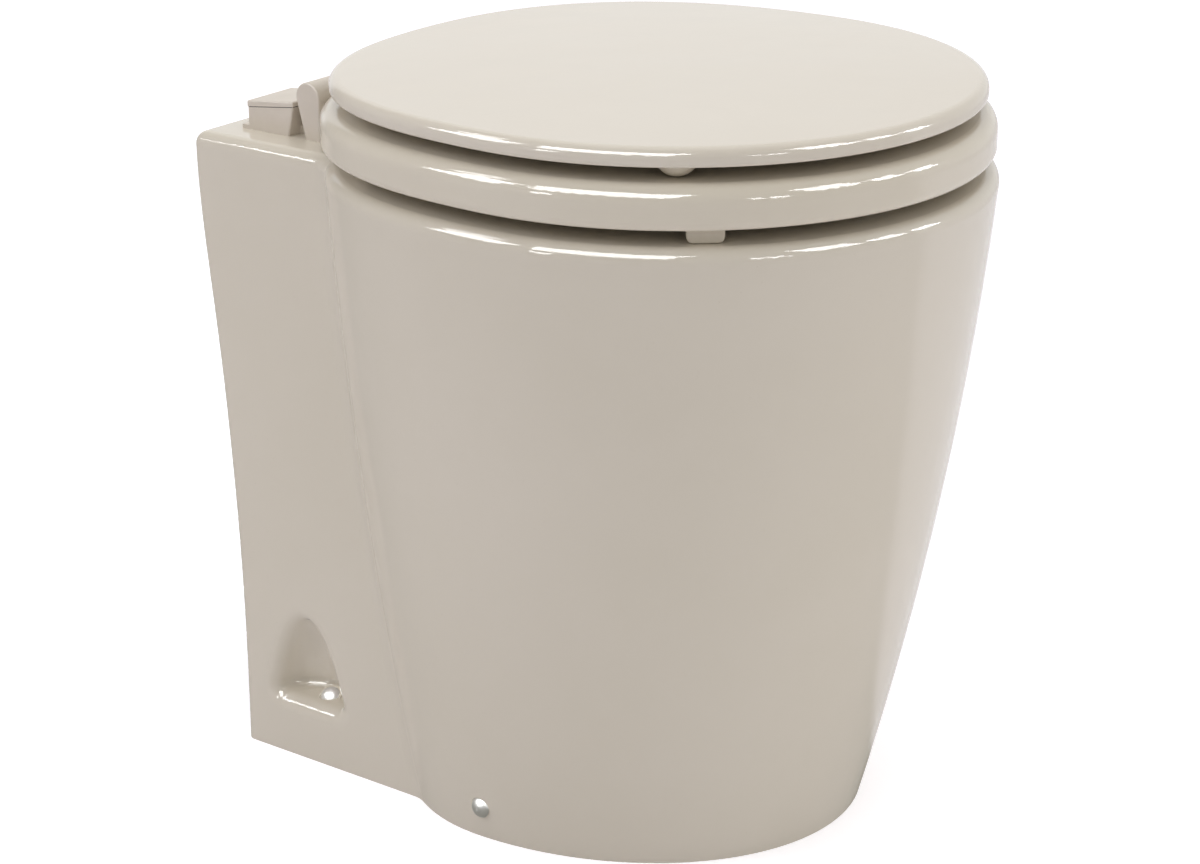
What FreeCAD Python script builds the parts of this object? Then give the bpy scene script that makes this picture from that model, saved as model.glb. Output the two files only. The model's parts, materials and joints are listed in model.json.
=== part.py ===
import FreeCAD, Part
import math
import os
from FreeCAD import Placement, Rotation, Vector

# Electric marine toilet, millimetres, +Z up, front towards -Y.
# The origin is on the floor, in the middle of the whole outline.

# China: overall outline
DEPTH = 472.0
CHINA_HEIGHT = 404.0
RIM_HALF_WIDTH = 189.0
RIM_CENTRE_Y = -45.0
RIM_REAR_REACH = 202.0
RIM_REAR_POWER = 2.4
FOOT_HALF_WIDTH = 140.0
FOOT_CENTRE_Y = 7.0
FOOT_FRONT_REACH = 170.0
FOOT_REAR_REACH = 120.0
FOOT_REAR_POWER = 2.0
PROFILE_BELLY = 0.5
BOX_HALF_WIDTH_FLOOR = 124.0
BOX_HALF_WIDTH_DECK = 119.4
BOX_REAR_SETBACK = 24.0
BOX_FLARE_START = 60.0
BOX_FLARE_END = 365.0
BOX_FLARE_POWER = 1.8
BOX_CORNER_RADIUS = 7.0
CREASE_RADIUS = 20.0
CHINA_WALL = 11.0
DECK_THICKNESS = 12.0
RIM_EDGE_RADIUS = 8.0

# China: basin and outlet
BASIN_RIM_SIDE = 59.0
BASIN_CENTRE_Y = -50.0
BASIN_RIM_FRONT = 39.0
BASIN_REAR_SETBACK = 146.0
BASIN_WALL = 9.0
BASIN_EDGE_RADIUS = 8.0
SUMP_RADIUS = 36.0
SUMP_FLOOR = 28.0
OUTLET_RADIUS = 24.0
OUTLET_WALL = 8.0
OUTLET_HEIGHT = 56.0
OUTLET_REACH = 73.0
OUTLET_PUMP_GAP = 14.0

# China: service opening and fixing niches
SERVICE_HALF_WIDTH = 85.0
SERVICE_HEIGHT = 335.0
SERVICE_CORNER = 24.0
NICHE_SETBACK = 79.0
NICHE_X = 122.0
NICHE_RADIUS = 29.0
NICHE_LEDGE = 39.0
NICHE_TOP = 97.0
NICHE_WALL = 9.0
NICHE_LIP_RADIUS = 10.0
NICHE_FLOOR_RADIUS = 5.0

# Fixing screws and floor brackets
SCREW_RADIUS = 3.0
SCREW_HOLE_CLEARANCE = 0.2
SCREW_HEAD_RADIUS = 6.6
SCREW_HEAD_HEIGHT = 3.9
REAR_SCREW_X = 105.0
REAR_SCREW_FORWARD = 3.3
REAR_SCREW_LEAN = 30.0
REAR_SCREW_LENGTH = 32.0
SCREW_BOSS_WALL = 1.5
FRONT_SCREW_Y = -2.0
FRONT_SCREW_HEIGHT = 22.0
FRONT_SCREW_LENGTH = 27.0
BRACKET_THICKNESS = 3.0
BRACKET_WIDTH = 26.0
BRACKET_HEIGHT = 36.0
BRACKET_FLANGE = 34.0
BRACKET_CLEARANCE = 0.3
FLOOR_HOLE_RADIUS = 3.3
FLOOR_HOLE_INSET = 20.0
NUT_RADIUS = 6.2
NUT_HEIGHT = 5.0

# Seat and lid
SEAT_HALF_WIDTH = 185.8
SEAT_FRONT_REACH = 188.3
SEAT_AXIS_OVERRUN = 1.3
SEAT_REAR_POWER = 2.4
SEAT_HINGE_GAP = 11.7
SEAT_REAR_CORNER = 25.0
SEAT_GAP = 9.0
SEAT_THICKNESS = 25.0
SEAT_TOP_RADIUS = 10.0
SEAT_BOTTOM_RADIUS = 5.0
SEAT_HOLE_HALF_WIDTH = 108.0
SEAT_HOLE_HALF_LENGTH = 136.0
SEAT_HOLE_Y = -50.0
LID_INSET = 5.8
LID_GAP = 8.7
LID_EDGE_HEIGHT = 10.5
LID_CROWN = 3.0
LID_EDGE_RADIUS = 6.5
LID_UNDER_RADIUS = 2.5
BUMPER_CLEARANCE = 0.3
SEAT_BUMPER_LENGTH = 21.0
SEAT_BUMPER_WIDTH = 12.0
SEAT_BUMPER_CORNER = 4.0
SEAT_BUMPER_EDGE = 1.0
SEAT_BUMPER_FRONT = (130.0, -156.5, 52.0)
SEAT_BUMPER_REAR = (128.0, 84.0, -62.0)
LID_BUMPER_RADIUS = 12.0
LID_BUMPER_FRONT = (133.0, -140.0)
LID_BUMPER_REAR = (130.0, 76.0)

# Hinge
HINGE_INNER_X = 55.0
HINGE_OUTER_X = 95.0
HINGE_AXIS_SETBACK = 75.3
HINGE_AXIS_RISE = 26.3
HINGE_BLOCK_START = 12.1
HINGE_BLOCK_LENGTH = 37.7
HINGE_SPLIT_FRONT = 18.5
HINGE_SPLIT_REAR = 13.7
HINGE_CAP_FRONT = 3.6
HINGE_CAP_REAR = 4.4
HINGE_BLOCK_LEAN = 4.5
HINGE_PLATE = 2.5
HINGE_PLATE_MARGIN = 5.0
HINGE_LINK_HEIGHT = 5.0
HINGE_LINK_INSET = 10.0
HINGE_EDGE_RADIUS = 1.2
HINGE_SEAM_CHAMFER = 0.6
POST_TOP_RADIUS = 9.3
POST_FOOT_WIDTH = 12.0
POST_FOOT_FORWARD = 3.3
ROD_RADIUS = 4.0
ROD_END_INSET = 2.0
ROD_FIT = 0.06
LEAF_WIDTH = 15.0
LEAF_THICKNESS = 3.0
LEAF_LENGTH = 50.0
LEAF_BARREL_RADIUS = 8.5
LEAF_GAP = 2.0
LEAF_SCREW_RADIUS = 2.0
LEAF_SCREW_LENGTH = 9.0
LEAF_SCREW_HEAD = 3.8
LEAF_SCREW_HEAD_HEIGHT = 1.8
LEAF_SCREW_INSETS = (20.0, 40.0)
BOLT_RADIUS = 4.0
BOLT_CLEARANCE = 0.3
BOLT_HEAD_RADIUS = 6.8
BOLT_HEAD_HEIGHT = 5.0
BOLT_POCKET_RADIUS = 8.5
BOLT_SEAT_RISE = 7.0
BOLT_WASHER_RADIUS = 13.0
BOLT_WASHER_HEIGHT = 4.0
BOLT_NUT_HEIGHT = 7.0
BOLT_TAIL = 6.0

# Macerator pump, vertical shaft
PUMP_SETBACK = 94.0
PUMP_RADIUS = 40.0
PUMP_WALL = 6.0
PUMP_BASE_THICKNESS = 3.0
PUMP_BASE_HALF_WIDTH = 62.0
PUMP_BASE_HALF_DEPTH = 44.0
PUMP_FOOT_RADIUS = 9.0
PUMP_FOOT_HEIGHT = 17.0
PUMP_FOOT_CIRCLE = 28.0
PUMP_FEET = 3
CHOPPER_HEIGHT = 70.0
CUTTER_THICKNESS = 3.0
CUTTER_EYE_RADIUS = 14.0
CUTTER_SLOTS = 6
CUTTER_SLOT_LENGTH = 9.0
VOLUTE_HEIGHT = 40.0
FLANGE_THICKNESS = 8.0
HOUSING_SCREWS = 4
HOUSING_SCREW_RADIUS = 2.5
HOUSING_SCREW_HEAD = 4.2
HOUSING_SCREW_HEAD_HEIGHT = 4.0
HOUSING_SCREW_GRIP = 14.0
SHAFT_RADIUS = 4.0
SHAFT_FIT = 0.05
IMPELLER_RADIUS = 31.0
IMPELLER_HEIGHT = 22.0
IMPELLER_DISC = 3.0
IMPELLER_VANES = 6
VANE_THICKNESS = 3.0
BLADE_LENGTH = 31.0
BLADE_WIDTH = 14.0
BLADE_THICKNESS = 4.0
BLADE_GAP = 1.5
HUB_RADIUS = 9.0

# Motor
MOTOR_RADIUS = 32.0
MOTOR_WALL = 2.5
MOTOR_HEIGHT = 92.0
END_CAP_HEIGHT = 12.0
END_CAP_WALL = 3.0
BEARING_RADIUS = 11.0
BEARING_HEIGHT = 8.0
MAGNET_THICKNESS = 6.0
MAGNET_ANGLE = 130.0
ARMATURE_GAP = 1.0
ARMATURE_HEIGHT = 50.0
ARMATURE_SLOTS = 10
COMMUTATOR_RADIUS = 12.0
COMMUTATOR_HEIGHT = 12.0
BRUSH_GAP = 0.15
BRUSH_SIZE = 7.0
BRUSH_CAN_GAP = 0.3
GLAND_RADIUS = 8.0
GLAND_HEX_HEIGHT = 5.0
GLAND_NECK_RADIUS = 6.8
GLAND_TIP_RADIUS = 4.8
GLAND_NECK_HEIGHT = 10.0
GLAND_BORE = 3.5
GLAND_X = 19.0

# Waste outlet and discharge
SLEEVE_WALL = 4.5
SLEEVE_FIT = 0.1
SLEEVE_OVERLAP = 12.5
INLET_GAP = 2.0
CLAMP_WIDTH = 8.0
CLAMP_THICKNESS = 1.0
CLAMP_SCREW_RADIUS = 3.5
DISCHARGE_X = 24.0
DISCHARGE_BORE = 13.0
DISCHARGE_WALL = 4.0
DISCHARGE_FLANGE_RADIUS = 20.5
DISCHARGE_FLANGE_THICKNESS = 4.0
DISCHARGE_REACH = 42.0
JOKER_THICKNESS = 3.0
JOKER_LIP_LENGTH = 16.0
JOKER_LIP_WALL = 2.0
JOKER_MOUTH_RADIUS = 1.0
TAIL_RADIUS = 19.0
TAIL_BORE = 15.5
TAIL_LENGTH = 22.0
COLLAR_WALL = 4.0
COLLAR_FIT = 0.1
COLLAR_SETBACK = 0.5

# Flush valve and hose
VALVE_BODY_HALF_WIDTH = 15.0
VALVE_BODY_HEIGHT = 30.0
VALVE_OUTLET_SETBACK = 64.0
VALVE_FRONT_REACH = 17.0
VALVE_REAR_REACH = 18.0
VALVE_TAIL_RADIUS = 8.0
VALVE_TAIL_BORE = 5.5
VALVE_TAIL_LENGTH = 22.0
VALVE_INLET_RADIUS = 9.5
VALVE_INLET_BORE = 6.5
VALVE_INLET_LENGTH = 26.0
COIL_RADIUS = 17.0
COIL_LENGTH = 34.0
COIL_COLLAR = 2.0
COIL_COLLAR_RADIUS = 11.9
CORE_TUBE_RADIUS = 8.0
CORE_TUBE_BORE = 6.0
CORE_TUBE_LENGTH = 42.0
CORE_END = 3.0
PLUNGER_LENGTH = 26.0
PLUNGER_START = 4.0
PLUNGER_FIT = 0.06
VALVE_BRACKET_THICKNESS = 3.0
VALVE_BRACKET_FLANGE = 30.0
VALVE_BRACKET_MARGIN = 3.0
HOSE_WALL = 3.0
HOSE_FIT = 0.1
HOSE_BEND = 30.0
HOSE_RISE = 24.0
NOZZLE_DROP = 20.0
NOZZLE_HOLE_CLEARANCE = 0.2
NOZZLE_TAIL_LENGTH = 26.0
NOZZLE_FLANGE_RADIUS = 14.0
NOZZLE_FLANGE_THICKNESS = 4.0
NOZZLE_REACH = 12.0
NOZZLE_GASKET = 2.0
NOZZLE_SEAT_GAP = 0.2

# Cuts run past the faces they open by this much
CUT_OVERRUN = 1.0
SAME_PLACE = 0.01

# Values that follow from the sizes above
FRONT_Y = -DEPTH / 2
REAR_Y = DEPTH / 2
RIM_FRONT_REACH = RIM_CENTRE_Y - FRONT_Y
BASIN_HALF_WIDTH = RIM_HALF_WIDTH - BASIN_RIM_SIDE
BASIN_FRONT_REACH = BASIN_CENTRE_Y - FRONT_Y - BASIN_RIM_FRONT
BASIN_REAR_REACH = REAR_Y - BASIN_REAR_SETBACK - BASIN_CENTRE_Y
NICHE_Y = REAR_Y - NICHE_SETBACK
REAR_SCREW_Y = NICHE_Y - REAR_SCREW_FORWARD
HINGE_AXIS_Y = REAR_Y - HINGE_AXIS_SETBACK
HINGE_BLOCK_FRONT = HINGE_AXIS_Y + HINGE_BLOCK_START
HINGE_BLOCK_REAR = HINGE_BLOCK_FRONT + HINGE_BLOCK_LENGTH
POST_FOOT_Y = HINGE_AXIS_Y - POST_FOOT_FORWARD
SEAT_REAR_REACH = HINGE_AXIS_Y + SEAT_AXIS_OVERRUN - RIM_CENTRE_Y
SEAT_REAR_CUT = HINGE_AXIS_Y - SEAT_HINGE_GAP
PUMP_Y = REAR_Y - PUMP_SETBACK
OUTLET_END_Y = PUMP_Y - PUMP_RADIUS - OUTLET_PUMP_GAP
SUMP_CENTRE_Y = OUTLET_END_Y - OUTLET_REACH
DISCHARGE_FLANGE_Y = PUMP_Y + DISCHARGE_REACH
SEAT_BOTTOM = CHINA_HEIGHT + SEAT_GAP
SEAT_TOP = SEAT_BOTTOM + SEAT_THICKNESS
LID_BOTTOM = SEAT_TOP + LID_GAP
LID_TOP = LID_BOTTOM + LID_EDGE_HEIGHT + LID_CROWN
DECK_UNDERSIDE = CHINA_HEIGHT - DECK_THICKNESS
HINGE_AXIS_Z = CHINA_HEIGHT + HINGE_AXIS_RISE
BOLT_X = (HINGE_INNER_X + HINGE_OUTER_X) / 2
BOLT_Y = (HINGE_BLOCK_FRONT + HINGE_BLOCK_REAR) / 2
CHOPPER_BOTTOM = PUMP_BASE_THICKNESS + PUMP_FOOT_HEIGHT
CHOPPER_TOP = CHOPPER_BOTTOM + CHOPPER_HEIGHT
VOLUTE_BOTTOM = CHOPPER_TOP + CUTTER_THICKNESS
VOLUTE_TOP = VOLUTE_BOTTOM + VOLUTE_HEIGHT
FLANGE_TOP = VOLUTE_TOP + FLANGE_THICKNESS
MOTOR_TOP = FLANGE_TOP + MOTOR_HEIGHT
END_CAP_TOP = MOTOR_TOP + END_CAP_HEIGHT
OUTLET_OUTER = OUTLET_RADIUS + OUTLET_WALL
NOZZLE_HEIGHT = DECK_UNDERSIDE - NOZZLE_DROP
VALVE_BODY_TOP = NOZZLE_HEIGHT - HOSE_BEND - HOSE_RISE
VALVE_BODY_BOTTOM = VALVE_BODY_TOP - VALVE_BODY_HEIGHT
VALVE_AXIS_Z = (VALVE_BODY_BOTTOM + VALVE_BODY_TOP) / 2
VALVE_OUTLET_Y = REAR_Y - VALVE_OUTLET_SETBACK
VALVE_BODY_FRONT = VALVE_OUTLET_Y - VALVE_FRONT_REACH
VALVE_BODY_REAR = VALVE_OUTLET_Y + VALVE_REAR_REACH
X_AXIS = Vector(1, 0, 0)
Y_AXIS = Vector(0, 1, 0)
Z_AXIS = Vector(0, 0, 1)
SIDES = (("left", -1), ("right", 1))


def block(low, high):
    """A box between two corners."""
    size = [abs(b - a) for a, b in zip(low, high)]
    corner = Vector(*[min(a, b) for a, b in zip(low, high)])
    return Part.makeBox(size[0], size[1], size[2], corner)


def rod(radius, length, base, axis=Z_AXIS):
    """A round bar from base along axis."""
    return Part.makeCylinder(radius, length, Vector(*base), axis)


def tube(outer, inner, length, base, axis=Z_AXIS):
    """A round tube from base along axis."""
    return rod(outer, length, base, axis).cut(rod(inner, length, base, axis))


def hexagon(radius, length, base, axis=Z_AXIS):
    """A hexagonal bar, radius over its corners."""
    points = [Vector(radius * math.cos(k * math.pi / 3), radius * math.sin(k * math.pi / 3), 0)
              for k in range(7)]
    bar = Part.Face(Part.makePolygon(points)).extrude(Vector(0, 0, length))
    bar.Placement = Placement(Vector(*base), Rotation(Z_AXIS, axis))
    return bar


def joined(shapes):
    """One solid made of shapes that meet."""
    shapes = list(shapes)
    return shapes[0].multiFuse(shapes[1:]).removeSplitter()


def mirrored(shape):
    """The same piece on the other side of the middle plane."""
    return shape.mirror(Vector(0, 0, 0), X_AXIS)


def turned(shape, degrees, centre):
    """A copy turned about a vertical line through centre."""
    copy = shape.copy()
    copy.rotate(Vector(*centre), Z_AXIS, degrees)
    return copy


def spline(points, closed=False):
    """A smooth edge through points."""
    curve = Part.BSplineCurve()
    curve.interpolate(points, PeriodicFlag=closed)
    return curve.toShape()


def oval_point(angle, half_width, front, rear, power, centre_y, z):
    """A point of an egg outline: an ellipse in front, a squarer curve behind.

    The angle is 0 at the right, 90 degrees at the rear and -90 at the front.
    """
    c, s = math.cos(angle), math.sin(angle)
    if s <= 0:
        return Vector(half_width * c, centre_y + front * s, z)
    x = math.copysign(abs(c) ** (2 / power), c) * half_width
    return Vector(x, centre_y + rear * s ** (2 / power), z)


def oval_wire(half_width, front, rear, power, centre_y, z, steps=40):
    """A closed egg outline."""
    points = [oval_point(2 * math.pi * (k + 0.5) / steps, half_width, front, rear, power, centre_y, z)
              for k in range(steps)]
    return Part.Wire(spline(points, closed=True))


def profile_share(z):
    """How far the china has widened from foot to rim at height z."""
    t = z / CHINA_HEIGHT
    return t + PROFILE_BELLY * t * (1 - t)


def between(foot, rim, z):
    """A size at height z, between its value at the foot and at the rim."""
    return foot + (rim - foot) * profile_share(z)


def box_rear(z):
    """The rear face of the box at height z."""
    t = min(max((z - BOX_FLARE_START) / (BOX_FLARE_END - BOX_FLARE_START), 0), 1)
    return REAR_Y - BOX_REAR_SETBACK * (1 - t ** BOX_FLARE_POWER)


def box_half_width(z):
    """Half the width of the rear box at height z."""
    return BOX_HALF_WIDTH_FLOOR + (BOX_HALF_WIDTH_DECK - BOX_HALF_WIDTH_FLOOR) * z / CHINA_HEIGHT


def body_wire(z, inset):
    """The china's level outline at height z, drawn in by inset: the egg, the creases and the rear box."""
    half_width = between(FOOT_HALF_WIDTH, RIM_HALF_WIDTH, z) - inset
    front = between(FOOT_FRONT_REACH, RIM_FRONT_REACH, z) - inset
    rear = between(FOOT_REAR_REACH, RIM_REAR_REACH, z) - inset
    power = between(FOOT_REAR_POWER, RIM_REAR_POWER, z)
    centre_y = between(FOOT_CENTRE_Y, RIM_CENTRE_Y, z)
    box_half = box_half_width(z) - inset
    rear_y = box_rear(z) - inset
    corner = max(BOX_CORNER_RADIUS - inset, BOX_CORNER_RADIUS / 3)
    crease = CREASE_RADIUS + inset

    def crease_centre(angle):
        p = oval_point(angle, half_width, front, rear, power, centre_y, z)
        nx = (p.x / half_width) ** (power - 1) / half_width
        ny = ((p.y - centre_y) / rear) ** (power - 1) / rear
        normal = Vector(nx, ny, 0).normalize()
        return p, normal, p + normal * crease

    low, high = 0.02, math.pi / 2 - 0.02
    for _ in range(50):
        angle = (low + high) / 2
        if crease_centre(angle)[2].x > box_half + crease:
            low = angle
        else:
            high = angle
    touch, normal, centre = crease_centre(angle)
    side_front = Vector(box_half, centre.y, z)
    crease_mid = centre - (normal + X_AXIS).normalize() * crease
    side_rear = Vector(box_half, rear_y - corner, z)
    corner_centre = Vector(box_half - corner, rear_y - corner, z)
    corner_mid = corner_centre + Vector(1, 1, 0).normalize() * corner
    back_right = Vector(box_half - corner, rear_y, z)

    def flip(p):
        return Vector(-p.x, p.y, p.z)

    sweep = math.pi + 2 * angle
    steps = 28
    egg = [oval_point(angle - sweep * k / steps, half_width, front, rear, power, centre_y, z)
           for k in range(steps + 1)]
    edges = [
        spline(egg[::-1]),
        Part.Arc(touch, crease_mid, side_front).toShape(),
        Part.makeLine(side_front, side_rear),
        Part.Arc(side_rear, corner_mid, back_right).toShape(),
        Part.makeLine(back_right, flip(back_right)),
        Part.Arc(flip(back_right), flip(corner_mid), flip(side_rear)).toShape(),
        Part.makeLine(flip(side_rear), flip(side_front)),
        Part.Arc(flip(side_front), flip(crease_mid), flip(touch)).toShape(),
    ]
    return Part.Wire(edges)


def body_loft(inset, top):
    """The china's outside, drawn in by inset, from the floor to a height."""
    levels = 7
    return Part.makeLoft([body_wire(top * k / (levels - 1), inset) for k in range(levels)], True, False)


def basin_loft(wall, floor):
    """The basin's hollow, or with a wall its outside, from the rim down to floor."""
    levels = 8
    wires = []
    for k in range(levels):
        z = CHINA_HEIGHT + (floor - CHINA_HEIGHT) * k / (levels - 1)
        share = math.cos(math.pi / 2 * k / (levels - 1))
        radius = SUMP_RADIUS + wall
        half_width = radius + (BASIN_HALF_WIDTH - SUMP_RADIUS) * share
        front = radius + (BASIN_FRONT_REACH - SUMP_RADIUS) * share
        rear = radius + (BASIN_REAR_REACH - SUMP_RADIUS) * share
        centre_y = SUMP_CENTRE_Y + (BASIN_CENTRE_Y - SUMP_CENTRE_Y) * share
        wires.append(oval_wire(half_width, front, rear, 2.0, centre_y, z))
    return Part.makeLoft(wires, True, False)


def niche_hollow():
    """The arched fixing niche on the right: a bullet-shaped hollow standing on a level ledge."""
    steps = 10
    points = []
    for k in range(steps + 1):
        radius = NICHE_RADIUS * k / steps
        z = NICHE_TOP - (NICHE_TOP - NICHE_LEDGE) * (k / steps) ** 2
        points.append(Vector(radius, 0, z))
    arch = spline(points)
    base = Part.makeLine(points[-1], Vector(0, 0, NICHE_LEDGE))
    stem = Part.makeLine(Vector(0, 0, NICHE_LEDGE), points[0])
    bullet = Part.Face(Part.Wire([arch, base, stem])).revolve(Vector(0, 0, 0), Z_AXIS, 360)
    floor = [e for e in bullet.Edges if e.BoundBox.ZMax < NICHE_LEDGE + SAME_PLACE]
    bullet = bullet.makeFillet(NICHE_FLOOR_RADIUS, floor)
    bullet.translate(Vector(NICHE_X, NICHE_Y, 0))
    return bullet


def on_niche_lip(edge):
    """Whether an edge is part of a niche's mouth on the side of the box."""
    box = edge.BoundBox
    level = NICHE_LEDGE - SAME_PLACE < box.ZMin and box.ZMax < NICHE_TOP + SAME_PLACE
    near = abs((box.YMin + box.YMax) / 2 - NICHE_Y) < NICHE_RADIUS
    outward = min(abs(box.XMin), abs(box.XMax)) > NICHE_X - NICHE_LIP_RADIUS / 2
    return level and near and outward and box.DiagonalLength > SAME_PLACE


def rear_screw_axis(side):
    """The way a niche's screw head faces: up, and leaning outwards."""
    lean = math.radians(REAR_SCREW_LEAN)
    return Vector(side * math.sin(lean), 0, math.cos(lean))


def front_screw_face():
    """Where the front fixing screw's head meets the china, as a distance from the middle."""
    half_width = between(FOOT_HALF_WIDTH, RIM_HALF_WIDTH, FRONT_SCREW_HEIGHT)
    centre_y = between(FOOT_CENTRE_Y, RIM_CENTRE_Y, FRONT_SCREW_HEIGHT)
    front = between(FOOT_FRONT_REACH, RIM_FRONT_REACH, FRONT_SCREW_HEIGHT)
    return half_width * math.sqrt(1 - min((FRONT_SCREW_Y - centre_y) / front, 0) ** 2)


def bracket_face():
    """The outer face of a floor bracket's upright, just inside the skirt's foot."""
    reach = (abs(FRONT_SCREW_Y - FOOT_CENTRE_Y) + BRACKET_WIDTH / 2) / (FOOT_FRONT_REACH - CHINA_WALL)
    return (FOOT_HALF_WIDTH - CHINA_WALL) * math.sqrt(1 - reach ** 2) - BRACKET_CLEARANCE


def basin_rear(z, wall):
    """The rear of the basin's wall at height z, on the middle plane."""
    share = math.cos(math.pi / 2 * (CHINA_HEIGHT - z) / (CHINA_HEIGHT - SUMP_FLOOR + wall))
    centre_y = SUMP_CENTRE_Y + (BASIN_CENTRE_Y - SUMP_CENTRE_Y) * share
    return centre_y + SUMP_RADIUS + wall + (BASIN_REAR_REACH - SUMP_RADIUS) * share


def bowl_pedestal():
    """The outer china: skirt, rear box, deck with the bowl's mouth, niches and holes."""
    outside = body_loft(0, CHINA_HEIGHT)
    top_face = max(outside.Faces, key=lambda f: f.CenterOfMass.z)
    outside = outside.makeFillet(RIM_EDGE_RADIUS, top_face.Edges)
    china = outside.cut(body_loft(CHINA_WALL, DECK_UNDERSIDE))
    lump = rod(NICHE_RADIUS + NICHE_WALL, NICHE_TOP + NICHE_WALL, (NICHE_X, NICHE_Y, 0))
    lump = lump.common(body_loft(CHINA_WALL / 2, DECK_UNDERSIDE))
    china = china.multiFuse([lump, mirrored(lump)])
    service = block((-SERVICE_HALF_WIDTH, REAR_Y - 3 * BOX_REAR_SETBACK / 2 - CHINA_WALL, -CHINA_WALL),
                    (SERVICE_HALF_WIDTH, REAR_Y + CHINA_WALL, SERVICE_HEIGHT))
    crown = [e for e in service.Edges
             if abs(e.CenterOfMass.z - SERVICE_HEIGHT) < SAME_PLACE and e.Length < SERVICE_HALF_WIDTH]
    service = service.makeFillet(SERVICE_CORNER, crown)
    for cut in (basin_loft(0, SUMP_FLOOR), service, niche_hollow(), mirrored(niche_hollow())):
        china = china.cut(cut)
    cuts, bosses = [], []
    hole = SCREW_RADIUS + SCREW_HOLE_CLEARANCE
    head = SCREW_HEAD_RADIUS + SCREW_HOLE_CLEARANCE
    for _, side in SIDES:
        ledge_at = (side * REAR_SCREW_X, REAR_SCREW_Y, NICHE_LEDGE)
        axis = rear_screw_axis(side)
        bosses.append(rod(head + SCREW_BOSS_WALL, NICHE_LEDGE / 2, ledge_at, axis * -1))
        cuts.append(rod(head, 2 * head, ledge_at, axis))
        cuts.append(rod(hole, NICHE_LEDGE / axis.z + head, ledge_at, axis * -1))
        screw_at = (side * front_screw_face(), FRONT_SCREW_Y, FRONT_SCREW_HEIGHT)
        cuts.append(rod(hole, 2 * CHINA_WALL, screw_at, X_AXIS * -side))
        cuts.append(rod(head, CHINA_WALL, screw_at, X_AXIS * side))
        cuts.append(rod(BOLT_RADIUS + BOLT_CLEARANCE, 2 * DECK_THICKNESS,
                        (side * BOLT_X, BOLT_Y, DECK_UNDERSIDE - DECK_THICKNESS / 2)))
    china = china.multiFuse(bosses)
    for cut in cuts:
        china = china.cut(cut)
    mouth = [e for e in china.Edges if e.BoundBox.ZMin > CHINA_HEIGHT - SAME_PLACE
             and BASIN_HALF_WIDTH < e.BoundBox.XLength < BASIN_HALF_WIDTH + RIM_HALF_WIDTH]
    china = china.makeFillet(BASIN_EDGE_RADIUS, mouth)
    return china.makeFillet(NICHE_LIP_RADIUS, [e for e in china.Edges if on_niche_lip(e)])


def bowl_basin():
    """The inner china, stuck under the deck before firing: the basin, its sump and the outlet spigot."""
    basin = basin_loft(BASIN_WALL, SUMP_FLOOR - BASIN_WALL)
    reach = OUTLET_END_Y - SUMP_CENTRE_Y
    basin = basin.fuse(rod(OUTLET_OUTER, reach, (0, SUMP_CENTRE_Y, OUTLET_HEIGHT), Y_AXIS))
    basin = basin.cut(basin_loft(0, SUMP_FLOOR))
    basin = basin.cut(rod(OUTLET_RADIUS, reach, (0, SUMP_CENTRE_Y, OUTLET_HEIGHT), Y_AXIS))
    basin = basin.cut(rod(VALVE_TAIL_RADIUS + NOZZLE_HOLE_CLEARANCE, 4 * BASIN_WALL,
                          (0, basin_rear(NOZZLE_HEIGHT, 0) - 2 * BASIN_WALL, NOZZLE_HEIGHT), Y_AXIS))
    return basin.cut(block((-DEPTH, -DEPTH, DECK_UNDERSIDE), (DEPTH, DEPTH, CHINA_HEIGHT + CUT_OVERRUN)))


def domed_screw(base, axis, length):
    """A dome-headed screw whose head sits at base; the shank runs back along the axis."""
    ball_radius = (SCREW_HEAD_RADIUS ** 2 + SCREW_HEAD_HEIGHT ** 2) / (2 * SCREW_HEAD_HEIGHT)
    ball = Part.makeSphere(ball_radius, Vector(0, 0, SCREW_HEAD_HEIGHT - ball_radius))
    head = ball.common(rod(2 * SCREW_HEAD_RADIUS, SCREW_HEAD_HEIGHT, (0, 0, 0)))
    screw = head.fuse(rod(SCREW_RADIUS, length, (0, 0, -length))).removeSplitter()
    screw.Placement = Placement(Vector(*base), Rotation(Z_AXIS, Vector(*axis)))
    return screw


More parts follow.
